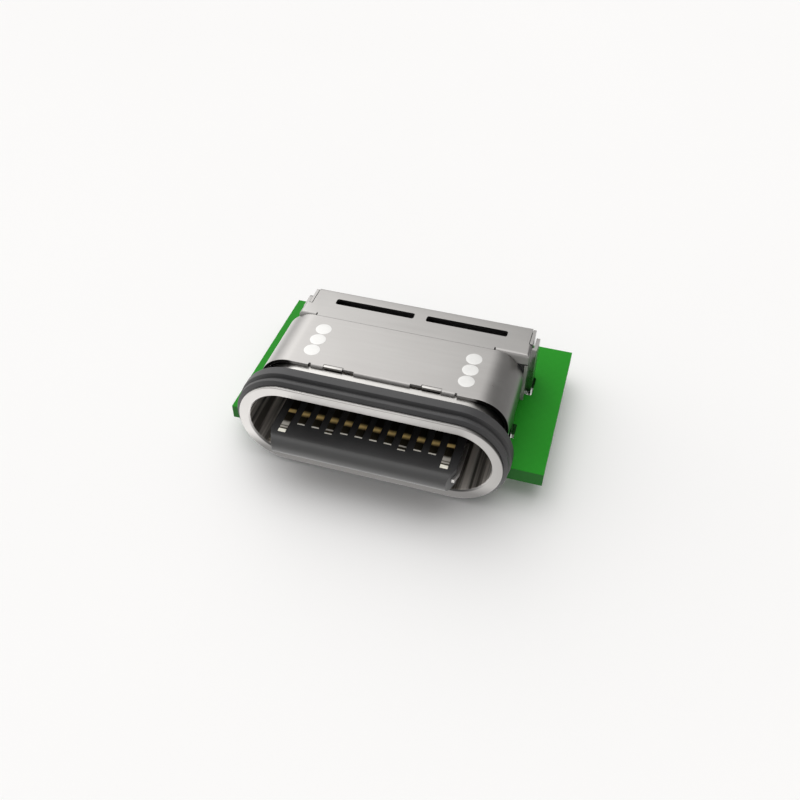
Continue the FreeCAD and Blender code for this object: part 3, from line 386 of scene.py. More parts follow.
@dataclass(frozen=True)
class ShoulderSteel(FoldedSteel):
    """Sheet of the rear shell, with painted light: the front faces of its two folded shoulder tabs
    and of its side walls' front edges take a lighter, less metallic tone.
    """

    # Painted light: the lighter tone of the tabs' and side walls' front faces.
    satin_and_painted_tone: Shade = (0.40, 0.39, 0.38)
    tab_from: Span = (3.28, 3.36)
    tab_back: Span = (4.80, 4.74)
    tab_foot: Span = (1.03, 1.07)
    wall_edge: Span = (4.40, 4.36)
    front_facing: Span = (-0.30, -0.75)

    def _front(self, graph: Graph) -> tuple[Signal, Signal, Any]:
        """The faces of the tabs and of the side walls' front edges, all in the painted light tone.
        """
        outer = graph.millimetres(0).magnitude().smooth_between(*self.tab_from)
        tab = graph.millimetres(1).smooth_between(*self.tab_back)
        tab = tab * graph.millimetres(2).smooth_between(*self.tab_foot)
        wall = graph.millimetres(1).smooth_between(*self.wall_edge)
        zone = 1.0 - (1.0 - tab) * (1.0 - wall)
        face = graph.facing(1).smooth_between(*self.front_facing) * outer * zone
        return face, face, colour(*self.satin_and_painted_tone)


@dataclass(frozen=True)
class Moulded(Finish):
    """Moulded rubber or plastic: a fine skin texture with slightly worn high spots, and painted
    light: a lighter tone in front of a set place on Y.
    """

    name: str
    base: Shade
    worn: Shade
    roughness: float
    texture_scale: float = 9000.0
    texture_depth: float = 0.003
    cloud_scale: float = 420.0
    worn_from: Span = (0.35, 0.75)
    unevenness: float = 0.18
    # Painted light: the lighter tone in front, and the span on Y where it fades out.
    painted_light: Shade = (0.068, 0.068, 0.068)
    painted_light_from: Span = (-5.0, -4.0)

    def surface(self, graph: Graph) -> Inputs:
        """Inputs of the surface."""
        skin = graph.noise(self.texture_scale, 4.0)
        cloud = graph.noise(self.cloud_scale, 3.0)
        high = cloud.smooth_between(*self.worn_from)
        skin_tone = graph.mix(high, colour(*self.base), colour(*self.worn))
        # Painted light: in front of the span the tone is lighter, so the tongue's nose looks lit
        # from the front.
        behind = graph.millimetres(1).smooth_between(*self.painted_light_from)
        return {
            "Base Color": graph.mix(behind, colour(*self.painted_light), skin_tone),
            "Roughness": (cloud - 0.5) * self.unevenness + self.roughness,
            "Normal": graph.bump(skin, self.texture_depth),
        }


@dataclass(frozen=True)
class SolderMask(Finish):
    """Green lacquer over a glass laminate: a faint weave below a satin, slightly wavy coat."""

    name: str = "solder_mask"
    deep: Shade = (0.017, 0.240, 0.016)
    bright: Shade = (0.024, 0.305, 0.022)
    cut: Shade = (0.027, 0.158, 0.028)
    top: float = -0.595
    cut_rise: float = 0.015
    cloud_scale: float = 300.0
    weave_pitch: float = 0.42
    weave_shade: float = 0.03
    weave_relief: float = 0.25
    relief: float = 0.004
    roughness: float = 0.42
    unevenness: float = 0.2
    gloss: float = 0.06

    def surface(self, graph: Graph) -> Inputs:
        """Inputs of the surface."""
        turns = math.tau / self.weave_pitch
        warp = graph.millimetres(0) * turns
        weft = graph.millimetres(1) * turns
        crossing = warp.wave() * weft.wave()
        cloud = graph.noise(self.cloud_scale, 3.0)
        shade = cloud + crossing * self.weave_shade
        face = graph.ramp(shade, ((0.25, self.deep), (0.75, self.bright)))
        on_top = graph.millimetres(2).smooth_between(self.top - self.cut_rise, self.top)
        return {
            "Base Color": graph.mix(on_top, colour(*self.cut), face),
            "Roughness": (cloud - 0.5) * self.unevenness + self.roughness,
            "Specular IOR Level": self.gloss,
            "Normal": graph.bump(cloud + crossing * self.weave_relief, self.relief),
        }


@dataclass(frozen=True)
class WeldGlaze(Finish):
    """Bright, almost white face of a laser weld, slightly mottled."""

    name: str = "weld_face"
    shade: Shade = (0.71, 0.71, 0.70)
    darker: float = 0.92
    cloud_scale: float = 5000.0
    metal: float = 0.9
    roughness: float = 0.4
    unevenness: float = 0.2
    relief: float = 0.002

    def surface(self, graph: Graph) -> Inputs:
        """Inputs of the surface."""
        cloud = graph.noise(self.cloud_scale, 3.0)
        return {
            "Base Color": graph.mottled(cloud, self.shade, self.darker),
            "Metallic": self.metal,
            "Roughness": cloud * self.unevenness + self.roughness,
            "Normal": graph.bump(cloud, self.relief),
        }


@dataclass(frozen=True)
class PaleFloor(Finish):
    """Matt pale sheet of the studio's floor, very slightly cloudy."""

    name: str = "pale_floor"
    shade: Shade = (0.95, 0.95, 0.95)
    darker: float = 0.99
    cloud_scale: float = 40.0
    roughness: float = 0.7

    def surface(self, graph: Graph) -> Inputs:
        """Inputs of the surface."""
        cloud = graph.noise(self.cloud_scale, 2.0)
        return {
            "Base Color": graph.mottled(cloud, self.shade, self.darker),
            "Roughness": self.roughness,
            "Specular IOR Level": 0.0,
        }


@dataclass(frozen=True)
class DrawnSteel(Finish):
    """Deep-drawn steel: bright satin outside; inside, painted shade with lighter streaks along the
    draw, partly draw lines and partly painted reflections.

    A place counts as inside where its distance from the flat middle line of the mouth,
    sqrt(max(|x| - flat, 0)^2 + z^2), is under the shell's middle radius.
    """

    name: str = "drawn_steel"
    light: Shade = (0.48, 0.47, 0.458)
    dark: Shade = (0.425, 0.416, 0.404)
    # Painted light: one even, lighter tone of the same steel for the outside behind the seal.
    roof: Shade = (0.50, 0.49, 0.475)
    painted_roof_from: Span = (0.7, 0.9)
    # Painted shade: a darker tone towards the bottom, a painted reflection of the floor's shadow,
    # and towards +X.
    painted_shade: Shade = (0.13, 0.127, 0.124)
    painted_shade_below: Span = (-0.60, -1.35)
    painted_shade_right: Span = (1.0, 7.0)
    # Inside the mouth: lighter streaks, partly draw lines and partly painted reflections, over
    # painted shade.
    inner_streak_and_painted_reflection: Shade = (0.80, 0.75, 0.70)
    inner_painted_shade: Shade = (0.095, 0.085, 0.075)
    inner_metal: float = 0.25
    half_flat: float = 2.89
    wall: Span = (1.285, 1.30)
    roughness: float = 0.30
    unevenness: float = 0.10
    relief: float = 0.002
    grain: tuple[float, float, float] = (3200, 160, 3200)
    streaks: tuple[float, float, float] = (3600, 120, 3600)
    streak_stops: Span = (0.43, 0.62)

    def surface(self, graph: Graph) -> Inputs:
        """Inputs of the surface."""
        past = (graph.millimetres(0).magnitude() - self.half_flat).at_least(0.0)
        height = graph.millimetres(2)
        outside = (past * past + height * height).root().smooth_between(*self.wall)
        lines, cloud, skin = graph.brushed(self.grain, self.dark, self.light)
        # Painted shade: darker towards the bottom, standing in for the floor's shadow in the rim's
        # reflection, and evenly darker towards +X.
        low = height.smooth_between(*self.painted_shade_below)
        right = graph.millimetres(0).straight_between(*self.painted_shade_right)
        skin = graph.mix(1.0 - (1.0 - low) * (1.0 - right), skin, colour(*self.painted_shade))
        # Painted light: from the back of the seal on, the outside takes that even tone in place of
        # the skin and its painted shade.
        roof = graph.millimetres(1).smooth_between(*self.painted_roof_from)
        skin = graph.mix(roof, skin, colour(*self.roof))
        # The streaks inside: partly draw lines, partly painted reflections, over painted shade.
        drawn = graph.noise(1.0, 2.0, graph.stretched(self.streaks))
        tones = tuple(zip(self.streak_stops, (self.inner_painted_shade, self.inner_streak_and_painted_reflection)))
        return {
            "Base Color": graph.mix(outside, graph.ramp(drawn, tones), skin),
            "Metallic": outside * (1.0 - self.inner_metal) + self.inner_metal,
            "Roughness": (lines + cloud - 1.0) * self.unevenness + self.roughness,
            "Normal": graph.bump(lines, self.relief),
        }


@dataclass(frozen=True)
class PaintedBands(Finish):
    """Painted bands of light and shade along a contact or plate, with fine drawn lines.

    Each stop is a distance behind the front end in millimetres, a colour, and how metallic the
    surface is there. On a contact the stops paint glints where it would catch light and a dark
    painted reflection between them, with real gold at the feet. On the plate they paint shade on
    one side.
    """

    name: str
    front: float
    stops: tuple[tuple[float, Shade, float], ...]
    roughness: float = 0.34
    span: float = 6.0
    axis: int = 1
    grain: tuple[float, float, float] = (9000, 900, 9000)
    wander: float = 0.03
    unevenness: float = 0.16
    relief: float = 0.001

    def surface(self, graph: Graph) -> Inputs:
        """Inputs of the surface."""
        lines = graph.noise(1.0, 3.0, graph.stretched(self.grain))
        wander = (lines - 0.5) * self.wander
        place = (graph.millimetres(self.axis) + wander - self.front) * (1 / self.span)
        tones = tuple((behind / self.span, tone) for behind, tone, _ in self.stops)
        sheen = tuple((behind / self.span, (metal,) * 3) for behind, _, metal in self.stops)
        return {
            "Base Color": graph.ramp(place, tones),
            "Metallic": graph.ramp(place, sheen),
            "Roughness": lines * self.unevenness + self.roughness,
            "Normal": graph.bump(lines, self.relief),
        }


# Colours of the painted bands: glints where a contact would catch light, and a painted dark
# reflection between them. FOOT fades from that dark to the real gold of the contacts' feet.
GREY_GLINT = (0.42, 0.40, 0.36)
PAINTED_DARK = (0.040, 0.034, 0.022)
GOLD_GLINT = (0.86, 0.62, 0.24)
PALE_GLINT = (0.93, 0.91, 0.80)
TIP_GLINT = (0.58, 0.56, 0.50)
FOOT = ((4.8, PAINTED_DARK, 0.9), (5.2, (0.80, 0.60, 0.28), 1.0))
STEEL_DRAWN = DrawnSteel()
STEEL_SHEET = SheetSteel("rolled_steel", (0.394, 0.386, 0.377), (0.344, 0.335, 0.327))
STEEL_REAR = ShoulderSteel("rear_steel", (0.384, 0.376, 0.367), (0.335, 0.329, 0.321))
# The middle plate and ground pads: painted shade on the left, dark up to X -1 mm, steel from X 0
# on.
STEEL_PLATE = PaintedBands(
    "plate_steel", -4.0, ((3.0, PAINTED_DARK, 1.0), (4.0, (0.44, 0.43, 0.42), 1.0)), span=8.0, axis=0
)
SIGNAL_BANDS = PaintedBands(
    "signal_painted_bands",
    -0.20,
    (
        (0.00, TIP_GLINT, 0.0), (0.09, TIP_GLINT, 0.0), (0.11, PAINTED_DARK, 0.9), (0.42, PAINTED_DARK, 0.9),
        (0.55, GOLD_GLINT, 0.1), (0.59, GOLD_GLINT, 0.1), (0.73, PAINTED_DARK, 0.9), *FOOT,
    ),
)
POWER_BANDS = PaintedBands(
    "power_painted_bands",
    -0.33,
    (
        (0.00, TIP_GLINT, 0.0), (0.09, TIP_GLINT, 0.0), (0.11, PAINTED_DARK, 0.9), (0.20, PAINTED_DARK, 0.9),
        (0.22, GREY_GLINT, 0.0), (0.26, GREY_GLINT, 0.0), (0.28, PAINTED_DARK, 0.9), (0.55, PAINTED_DARK, 0.9),
        (0.68, GOLD_GLINT, 0.1), (0.72, GOLD_GLINT, 0.1), (0.86, PAINTED_DARK, 0.9), *FOOT,
    ),
)
END_BANDS = PaintedBands(
    "end_painted_bands",
    -0.67,
    (
        (0.00, PALE_GLINT, 0.0), (0.19, PALE_GLINT, 0.0), (0.21, PAINTED_DARK, 0.9), (0.25, PAINTED_DARK, 0.9),
        (0.28, GREY_GLINT, 0.0), (0.32, GREY_GLINT, 0.0), (0.35, PAINTED_DARK, 0.5), (0.40, GREY_GLINT, 0.0),
        (0.50, GREY_GLINT, 0.1), (0.60, PAINTED_DARK, 0.9), (0.97, PAINTED_DARK, 0.9),
        (1.01, GOLD_GLINT, 0.1), (1.11, GOLD_GLINT, 0.1), (1.17, PAINTED_DARK, 0.9), *FOOT,
    ),
)
RUBBER = Moulded("seal_rubber_skin", (0.038, 0.038, 0.040), (0.059, 0.058, 0.059), 0.52)
# The tongue's nose gets painted light in front of Y -0.62 mm.
BLACK_PLASTIC = Moulded(
    "tongue_plastic", (0.019, 0.019, 0.020), (0.031, 0.031, 0.032), 0.42, painted_light_from=(-1.08, -0.62)
)
POURED_RESIN = Moulded(
    "poured_resin", (0.020, 0.020, 0.022), (0.030, 0.030, 0.032), 0.30, texture_scale=2500.0
)
MASK = SolderMask()
WELD = WeldGlaze()


def grid_faces(rows: int, columns: int, wrap_rows: bool, wrap_columns: bool) -> Faces:
    """Quads of a grid whose point (r, c) has the number r * columns + c.

    Args:
        rows: points along the first parameter.
        columns: points along the second parameter.
        wrap_rows: whether the last row joins the first.
        wrap_columns: whether the last column joins the first.

    Returns:
        One list of four point numbers for each quad.
    """
    row = np.arange(rows if wrap_rows else rows - 1)[:, None]
    column = np.arange(columns if wrap_columns else columns - 1)[None, :]
    next_row = (row + 1) % rows
    next_column = (column + 1) % columns
    quads = np.stack(
        np.broadcast_arrays(
            row * columns + column,
            next_row * columns + column,
            next_row * columns + next_column,
            row * columns + next_column,
        ),
        axis=-1,
    )
    return quads.reshape(-1, 4).tolist()


@dataclass
class Patch:
    """Points in millimetres and the faces between them."""

    points: np.ndarray
    faces: Faces

    def outward(self) -> "Patch":
        """Turn a closed patch's faces so that they point out of it.

        The signed volume is the sum over each face's fan of triangles of a . (b x c) / 6,
        and it is negative where the faces point inwards.
        """
        fan = [
            (face[0], face[index], face[index + 1])
            for face in self.faces
            for index in range(1, len(face) - 1)
        ]
        first, second, third = (self.points[column] for column in np.array(fan).T)
        volume = np.einsum("ij,ij->i", first, np.cross(second, third)).sum()
        if volume < 0:
            return Patch(self.points, [face[::-1] for face in self.faces])
        return self


def joined(patches: Iterable[Patch]) -> Patch:
    """Put several patches in one, each as an island of its own."""
    points = []
    faces = []
    count = 0
    for patch in patches:
        points.append(patch.points)
        faces.extend([[number + count for number in face] for face in patch.faces])
        count += len(patch.points)
    return Patch(np.concatenate(points), faces)


def rings(radius: np.ndarray, steps: int) -> tuple[np.ndarray, np.ndarray]:
    """X and Y of circles round the origin: r cos t and r sin t on a grid of r and t."""
    turn = np.linspace(0, math.tau, steps, endpoint=False)
    return radius[:, None] * np.cos(turn)[None, :], radius[:, None] * np.sin(turn)[None, :]


def capped(points: np.ndarray) -> Patch:
    """Close a tube, given as rows of points round it, with a flat face at each end."""
    rows, columns = points.shape[:2]
    faces = grid_faces(rows, columns, False, True)
    faces.append(list(range(columns)))
    faces.append([(rows - 1) * columns + number for number in reversed(range(columns))])
    return Patch(points.reshape(-1, 3), faces).outward()


def round_corners(
    corners: Sequence[tuple[float, float]],
    radii: Sequence[float],
    steps: int = 4,
    guard: float = 0.006,
) -> np.ndarray:
    """Round the corners of a closed outline.

    At a corner where the outline turns by an angle T, an arc of radius r starts
    r tan(T / 2) before the corner and ends as far behind it. Its points are the arc's
    centre plus the first radius turned evenly from 0 to T. A guard point on each edge,
    close to the arc, keeps the flat's shading flat.

    Args:
        corners: the outline's corners in order.
        radii: rounding of each corner.
        steps: segments of each arc.
        guard: distance of the guard points from the arc.

    Returns:
        The points of the rounded outline, as an array of pairs.
    """
    place = np.array(corners, float)
    radius = np.array(radii, float)
    incoming = place - np.roll(place, 1, axis=0)
    incoming /= np.linalg.norm(incoming, axis=1, keepdims=True)
    outgoing = np.roll(incoming, -1, axis=0)
    cross = incoming[:, 0] * outgoing[:, 1] - incoming[:, 1] * outgoing[:, 0]
    turn = np.arctan2(cross, np.einsum("ij,ij->i", incoming, outgoing))
    reach = (radius * np.tan(np.abs(turn) / 2))[:, None]
    start = place - incoming * reach
    end = place + outgoing * reach
    side = np.stack((-incoming[:, 1], incoming[:, 0]), axis=1) * np.sign(turn)[:, None]
    centre = start + side * radius[:, None]
    angle = turn[:, None] * np.linspace(0, 1, steps + 1)[None, :]
    arm = (start - centre)[:, None, :]
    turned_first = arm[..., 0] * np.cos(angle) - arm[..., 1] * np.sin(angle)
    turned_second = arm[..., 0] * np.sin(angle) + arm[..., 1] * np.cos(angle)
    arc = centre[:, None, :] + np.stack((turned_first, turned_second), axis=-1)
    before = (start - incoming * guard)[:, None, :]
    behind = (end + outgoing * guard)[:, None, :]
    return np.concatenate((before, arc, behind), axis=1).reshape(-1, 2)


@dataclass
class Stadium:
    """Closed path of two straight runs and two half circles round the middle of the mouth."""

    half_flat: float
    arc_steps: int = 56
    flat_steps: int = 24

    def carry(self, outline: np.ndarray) -> Patch:
        """Carry a closed section round the path.

        A station has a centre on the mouth's middle line and an outward direction n. The
        section's point (y, d) lies at the centre plus d along n, at depth y.

        Args:
            outline: pairs of depth and distance from the middle line.

        Returns:
            The closed ring.
        """
        turn = np.linspace(-math.pi / 2, math.pi / 2, self.arc_steps + 1)
        run = np.linspace(1, -1, self.flat_steps + 1)[1:-1]
        flat = self.half_flat
        centre = np.concatenate(
            (np.full(turn.shape, flat), run * flat, np.full(turn.shape, -flat), -run * flat)
        )
        level = np.full(run.shape, math.pi / 2)
        angle = np.concatenate((turn, level, turn + math.pi, -level))
        depth, distance = outline[:, 0], outline[:, 1]
        x = centre[:, None] + np.cos(angle)[:, None] * distance[None, :]
        z = np.sin(angle)[:, None] * distance[None, :]
        y = np.broadcast_to(depth[None, :], x.shape)
        points = np.stack((x, y, z), axis=-1).reshape(-1, 3)
        faces = grid_faces(len(angle), len(outline), True, True)
        return Patch(points, faces).outward()


def prism(outline: np.ndarray, low: float, high: float, edge: float, axis: int) -> Patch:
    """Solid between two copies of an outline, with its edges rounded.

    The outline's points move inwards along their corner's bisector by edge (1 - cos a)
    while the level moves by edge (1 - sin a), for a from 0 to a right angle.

    Args:
        outline: pairs of the two coordinates that are left when axis is taken out.
        low: lower level along the axis.
        high: upper level along the axis.
        edge: rounding of the rims.
        axis: 0, 1 or 2 for X, Y or Z.

    Returns:
        The closed solid.
    """
    incoming = outline - np.roll(outline, 1, axis=0)
    incoming /= np.linalg.norm(incoming, axis=1, keepdims=True)
    outgoing = np.roll(incoming, -1, axis=0)
    area = np.cross(outline, np.roll(outline, -1, axis=0)).sum()
    sign = 1.0 if area > 0 else -1.0
    normal = np.stack((-(incoming + outgoing)[:, 1], (incoming + outgoing)[:, 0]), axis=1) * sign
    length = np.linalg.norm(normal, axis=1, keepdims=True)
    inward = normal / length
    inward /= length / 2
    turn = np.linspace(0, math.pi / 2, EDGE_STEPS + 1)
    inset = np.concatenate((edge * (1 - np.sin(turn)), edge * (1 - np.cos(turn))))
    rise = np.concatenate((low + edge * (1 - np.cos(turn)), high - edge * (1 - np.sin(turn))))
    flat = outline[None, :, :] + inward[None, :, :] * inset[:, None, None]
    levels = np.broadcast_to(rise[:, None], flat.shape[:2])
    others = [number for number in range(3) if number != axis]
    points = np.empty(flat.shape[:2] + (3,))
    points[..., axis] = levels
    points[..., others[0]] = flat[..., 0]
    points[..., others[1]] = flat[..., 1]
    return capped(points)


def box_outline(left: float, low: float, right: float, high: float, corner: float) -> np.ndarray:
    """Rectangle with rounded corners, as pairs."""
    corners = ((left, low), (right, low), (right, high), (left, high))
    return round_corners(corners, (corner,) * len(corners), steps=3, guard=corner / 4)


def write_mesh(name: str, patch: Patch) -> Object:
    """Make a smooth-shaded object at the origin from a patch in millimetres."""
    mesh = bpy.data.meshes.new(name)
    mesh.from_pydata((patch.points * MM).tolist(), [], patch.faces)
    mesh.update()
    return link(name, smooth(mesh))


def smooth(mesh: Mesh) -> Mesh:
    """Shade a mesh smooth but for the edges that turn by more than SHARP_TURN."""
    mesh.shade_smooth()
    mesh.set_sharp_from_angle(angle=SHARP_TURN)
    return mesh


def link(name: str, data: Any) -> Object:
    """Put a mesh or camera in the scene as an object at the origin."""
    made = bpy.data.objects.new(name, data)
    bpy.context.scene.collection.objects.link(made)
    return made


def edged_copy(node: str, name: str, edge: float) -> Object:
    """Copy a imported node, merge its loose triangles and give its edges a small rounding.

    Args:
        node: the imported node.
        name: the new piece's name.
        edge: width of the rounding.

    Returns:
        The new piece.
    """
    work = bmesh.new()
    work.from_mesh(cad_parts[node].data)
    bmesh.ops.remove_doubles(work, verts=work.verts, dist=MERGE * MM)
    bmesh.ops.dissolve_limit(
        work,
        angle_limit=FLAT_TURN,
        verts=work.verts,
        edges=work.edges,
        use_dissolve_boundaries=False,
    )
    mesh = bpy.data.meshes.new(name)
    work.to_mesh(mesh)
    work.free()
    piece = link(name, smooth(mesh))
    rounding = piece.modifiers.new("rounding", "BEVEL")
    rounding.width = edge * MM
    rounding.segments = 2
    rounding.limit_method = "ANGLE"
    rounding.angle_limit = SHARP_TURN
    rounding.harden_normals = True
    rounding.use_clamp_overlap = True
    return piece


def dress(piece: Object, material: Material, nodes: Sequence[str] = ()) -> None:
    """Give a piece its material and body, and hide the nodes that it stands for."""
    piece.data.materials.clear()
    piece.data.materials.append(material)
    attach(piece, ROOT)
    if nodes:
        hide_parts(*nodes)
    log.info("%s: %d faces", piece.name, len(piece.data.polygons))


def pierce(piece: Object, holes: Patch) -> None:
    """Take solids away from a piece for good.

    Args:
        piece: the piece to be cut; its mesh is exchanged for the cut one.
        holes: the solids, in millimetres.
    """
    tool = write_mesh("holes", holes)
    cut = piece.modifiers.new("cut", "BOOLEAN")
    cut.operation = "DIFFERENCE"
    cut.solver = "EXACT"
    cut.object = tool
    evaluated = piece.evaluated_get(bpy.context.evaluated_depsgraph_get())
    mesh = bpy.data.meshes.new_from_object(evaluated)
    piece.modifiers.clear()
    piece.data = smooth(mesh)
    bpy.data.objects.remove(tool)


def corners_of(node: str) -> tuple[np.ndarray, np.ndarray]:
    """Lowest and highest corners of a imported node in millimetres."""
    low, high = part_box(node)
    return np.array(low) / MM, np.array(high) / MM


@dataclass
class Cover:
    """Cover folded over the shell, with windows, relief notches, legs and weld spots."""

    wall: float = 0.12
    bend: float = 1.14
    foot: float = -0.05
    window: tuple[float, float, float] = (1.36, 2.06, 0.17)
    window_foot: tuple[float, float, float] = (0.98, 1.36, 0.09)
    tick: tuple[float, float, float] = (2.50, 2.58, 0.10)
    notch_wall: float = 0.008
    leg: Span = (2.35, 2.85)
    leg_point: float = 0.12
    leg_taper: float = 0.24
    leg_rounds: tuple[float, ...] = (0.01, 0.05, 0.03, 0.03, 0.05, 0.01)
    edge: float = 0.02
    front_round: float = 0.10
    roof_steps: int = 40
    flank_steps: int = 4
    bend_steps: int = 24
    weld_x: float = 2.72
    weld_radius: float = 0.28
    weld_y: tuple[float, ...] = (2.33, 2.915, 3.50)
    weld_rise: float = 0.006
    weld_lift: float = 0.001
    weld_sink: float = 0.01
    weld_steps: int = 40
    weld_rings: int = 7
    weld_middle: float = 0.1

    def build(self) -> None:
        """Build the folded sheet with its legs, and the weld spots."""
        low, high = corners_of("cover_bracket")
        sheet = self._sheet(low, high)
        right = (high[0] - self.wall, high[0])
        left = (-high[0], self.wall - high[0])
        legs = [self._leg(low[2], side) for side in (right, left)]
        piece = write_mesh("cover_skin", joined((sheet, *legs)))
        dress(piece, STEEL_SHEET.material(), ["cover_bracket"])
        places = [(x, y) for x in (-self.weld_x, self.weld_x) for y in self.weld_y]
        welds = joined(self._weld(x, y, high[2]) for x, y in places)
        dress(write_mesh("weld_spots", welds), WELD.material())

    def _cuts(self) -> tuple[tuple[float, float, float], ...]:
        """Inner end, outer end and depth of each cut in the front edge."""
        return (self.window_foot, self.window, self.tick)

    def _front_cut(self, x: np.ndarray) -> np.ndarray:
        """How far the front edge is cut back at a place along X."""
        cut = np.zeros(x.shape)
        for inner, outer, depth in self._cuts():
            cut = np.where((np.abs(x) > inner) & (np.abs(x) < outer), depth, cut)
        return cut

    def _sheet(self, low: np.ndarray, high: np.ndarray) -> Patch:
        """Folded sheet: a rounded cross-cut of the sheet carried along the folded outline.

        A station has a point on the sheet's outer face and an inward direction n. The
        cut's point (front or back, d) lies at the station's point plus d along n.
        """
        half, top = high[0], high[2]
        centre_x = half - self.bend
        centre_z = top - self.bend
        borders = [
            sign * (place + offset * self.notch_wall)
            for cut in self._cuts()
            for place in cut[:2]
            for sign in (-1, 1)
            for offset in (-0.5, 0.5)
        ]
        even = np.linspace(-centre_x, centre_x, self.roof_steps + 1)[1:-1]
        roof = np.unique(np.concatenate((even, borders)))
        rise = np.linspace(self.foot, centre_z, self.flank_steps + 1)[:-1]
        turn = np.linspace(0, math.pi / 2, self.bend_steps + 1)
        flank = np.zeros(rise.shape)
        x = np.concatenate(
            (
                np.full(rise.shape, -half),
                -centre_x - self.bend * np.cos(turn),
                roof,
                centre_x + self.bend * np.sin(turn),
                np.full(rise.shape, half),
            )
        )
        z = np.concatenate(
            (
                rise,
                centre_z + self.bend * np.sin(turn),
                np.full(roof.shape, top),
                centre_z + self.bend * np.cos(turn),
                rise[::-1],
            )
        )
        inward_x = (flank + 1, np.cos(turn), np.zeros(roof.shape), -np.sin(turn), flank - 1)
        inward_z = (flank, -np.sin(turn), -np.ones(roof.shape), -np.cos(turn), flank)
        front = low[1] + self._front_cut(x)
        length = high[1] - low[1]
        corners = ((0, 0), (length, 0), (length, self.wall), (0, self.wall))
        sharp, soft = (
            round_corners(corners, (front_radius, *(self.edge,) * 3), steps=6, guard=FINE_GUARD)
            for front_radius in (self.edge, self.front_round)
        )
        formed = (np.abs(x) < self.tick[0]) & (front < low[1] + SAME)
        section = np.where(formed[:, None, None], soft[None], sharp[None])
        from_front = section[..., 0] < length / 2
        depth = section[..., 1]
        y = np.where(from_front, front[:, None], low[1]) + section[..., 0]
        px = x[:, None] + np.concatenate(inward_x)[:, None] * depth
        pz = z[:, None] + np.concatenate(inward_z)[:, None] * depth
        return capped(np.stack((px, y, pz), axis=-1))

    def _leg(self, tip: float, side: Span) -> Patch:
        """One leg: a flat finger that narrows to its tip, a little inside the flank's sheet."""
        front, back = self.leg
        shoulder = tip + self.leg_taper
        corners = (
            (front, self.foot + self.edge),
            (front, shoulder),
            (front + self.leg_point, tip),
            (back - self.leg_point, tip),
            (back, shoulder),
            (back, self.foot + self.edge),
        )
        outline = round_corners(corners, self.leg_rounds, steps=3, guard=FINE_GUARD)
        return prism(outline, side[0], side[1], self.edge, 0)

    def _weld(self, x: float, y: float, top: float) -> Patch:
        """One weld spot: a low dome whose height is rise (1 - (r / R)^4), on a flat foot."""
        share = np.linspace(1, self.weld_middle, self.weld_rings)
        px, py = rings(share * self.weld_radius, self.weld_steps)
        height = top + self.weld_rise * (1 - share**4) + self.weld_lift
        pz = np.broadcast_to(height[:, None], px.shape)
        dome = np.stack((x + px, y + py, pz), axis=-1)
        foot = dome[0:1].copy()
        foot[..., 2] = top - self.weld_sink
        return capped(np.concatenate((foot, dome)))


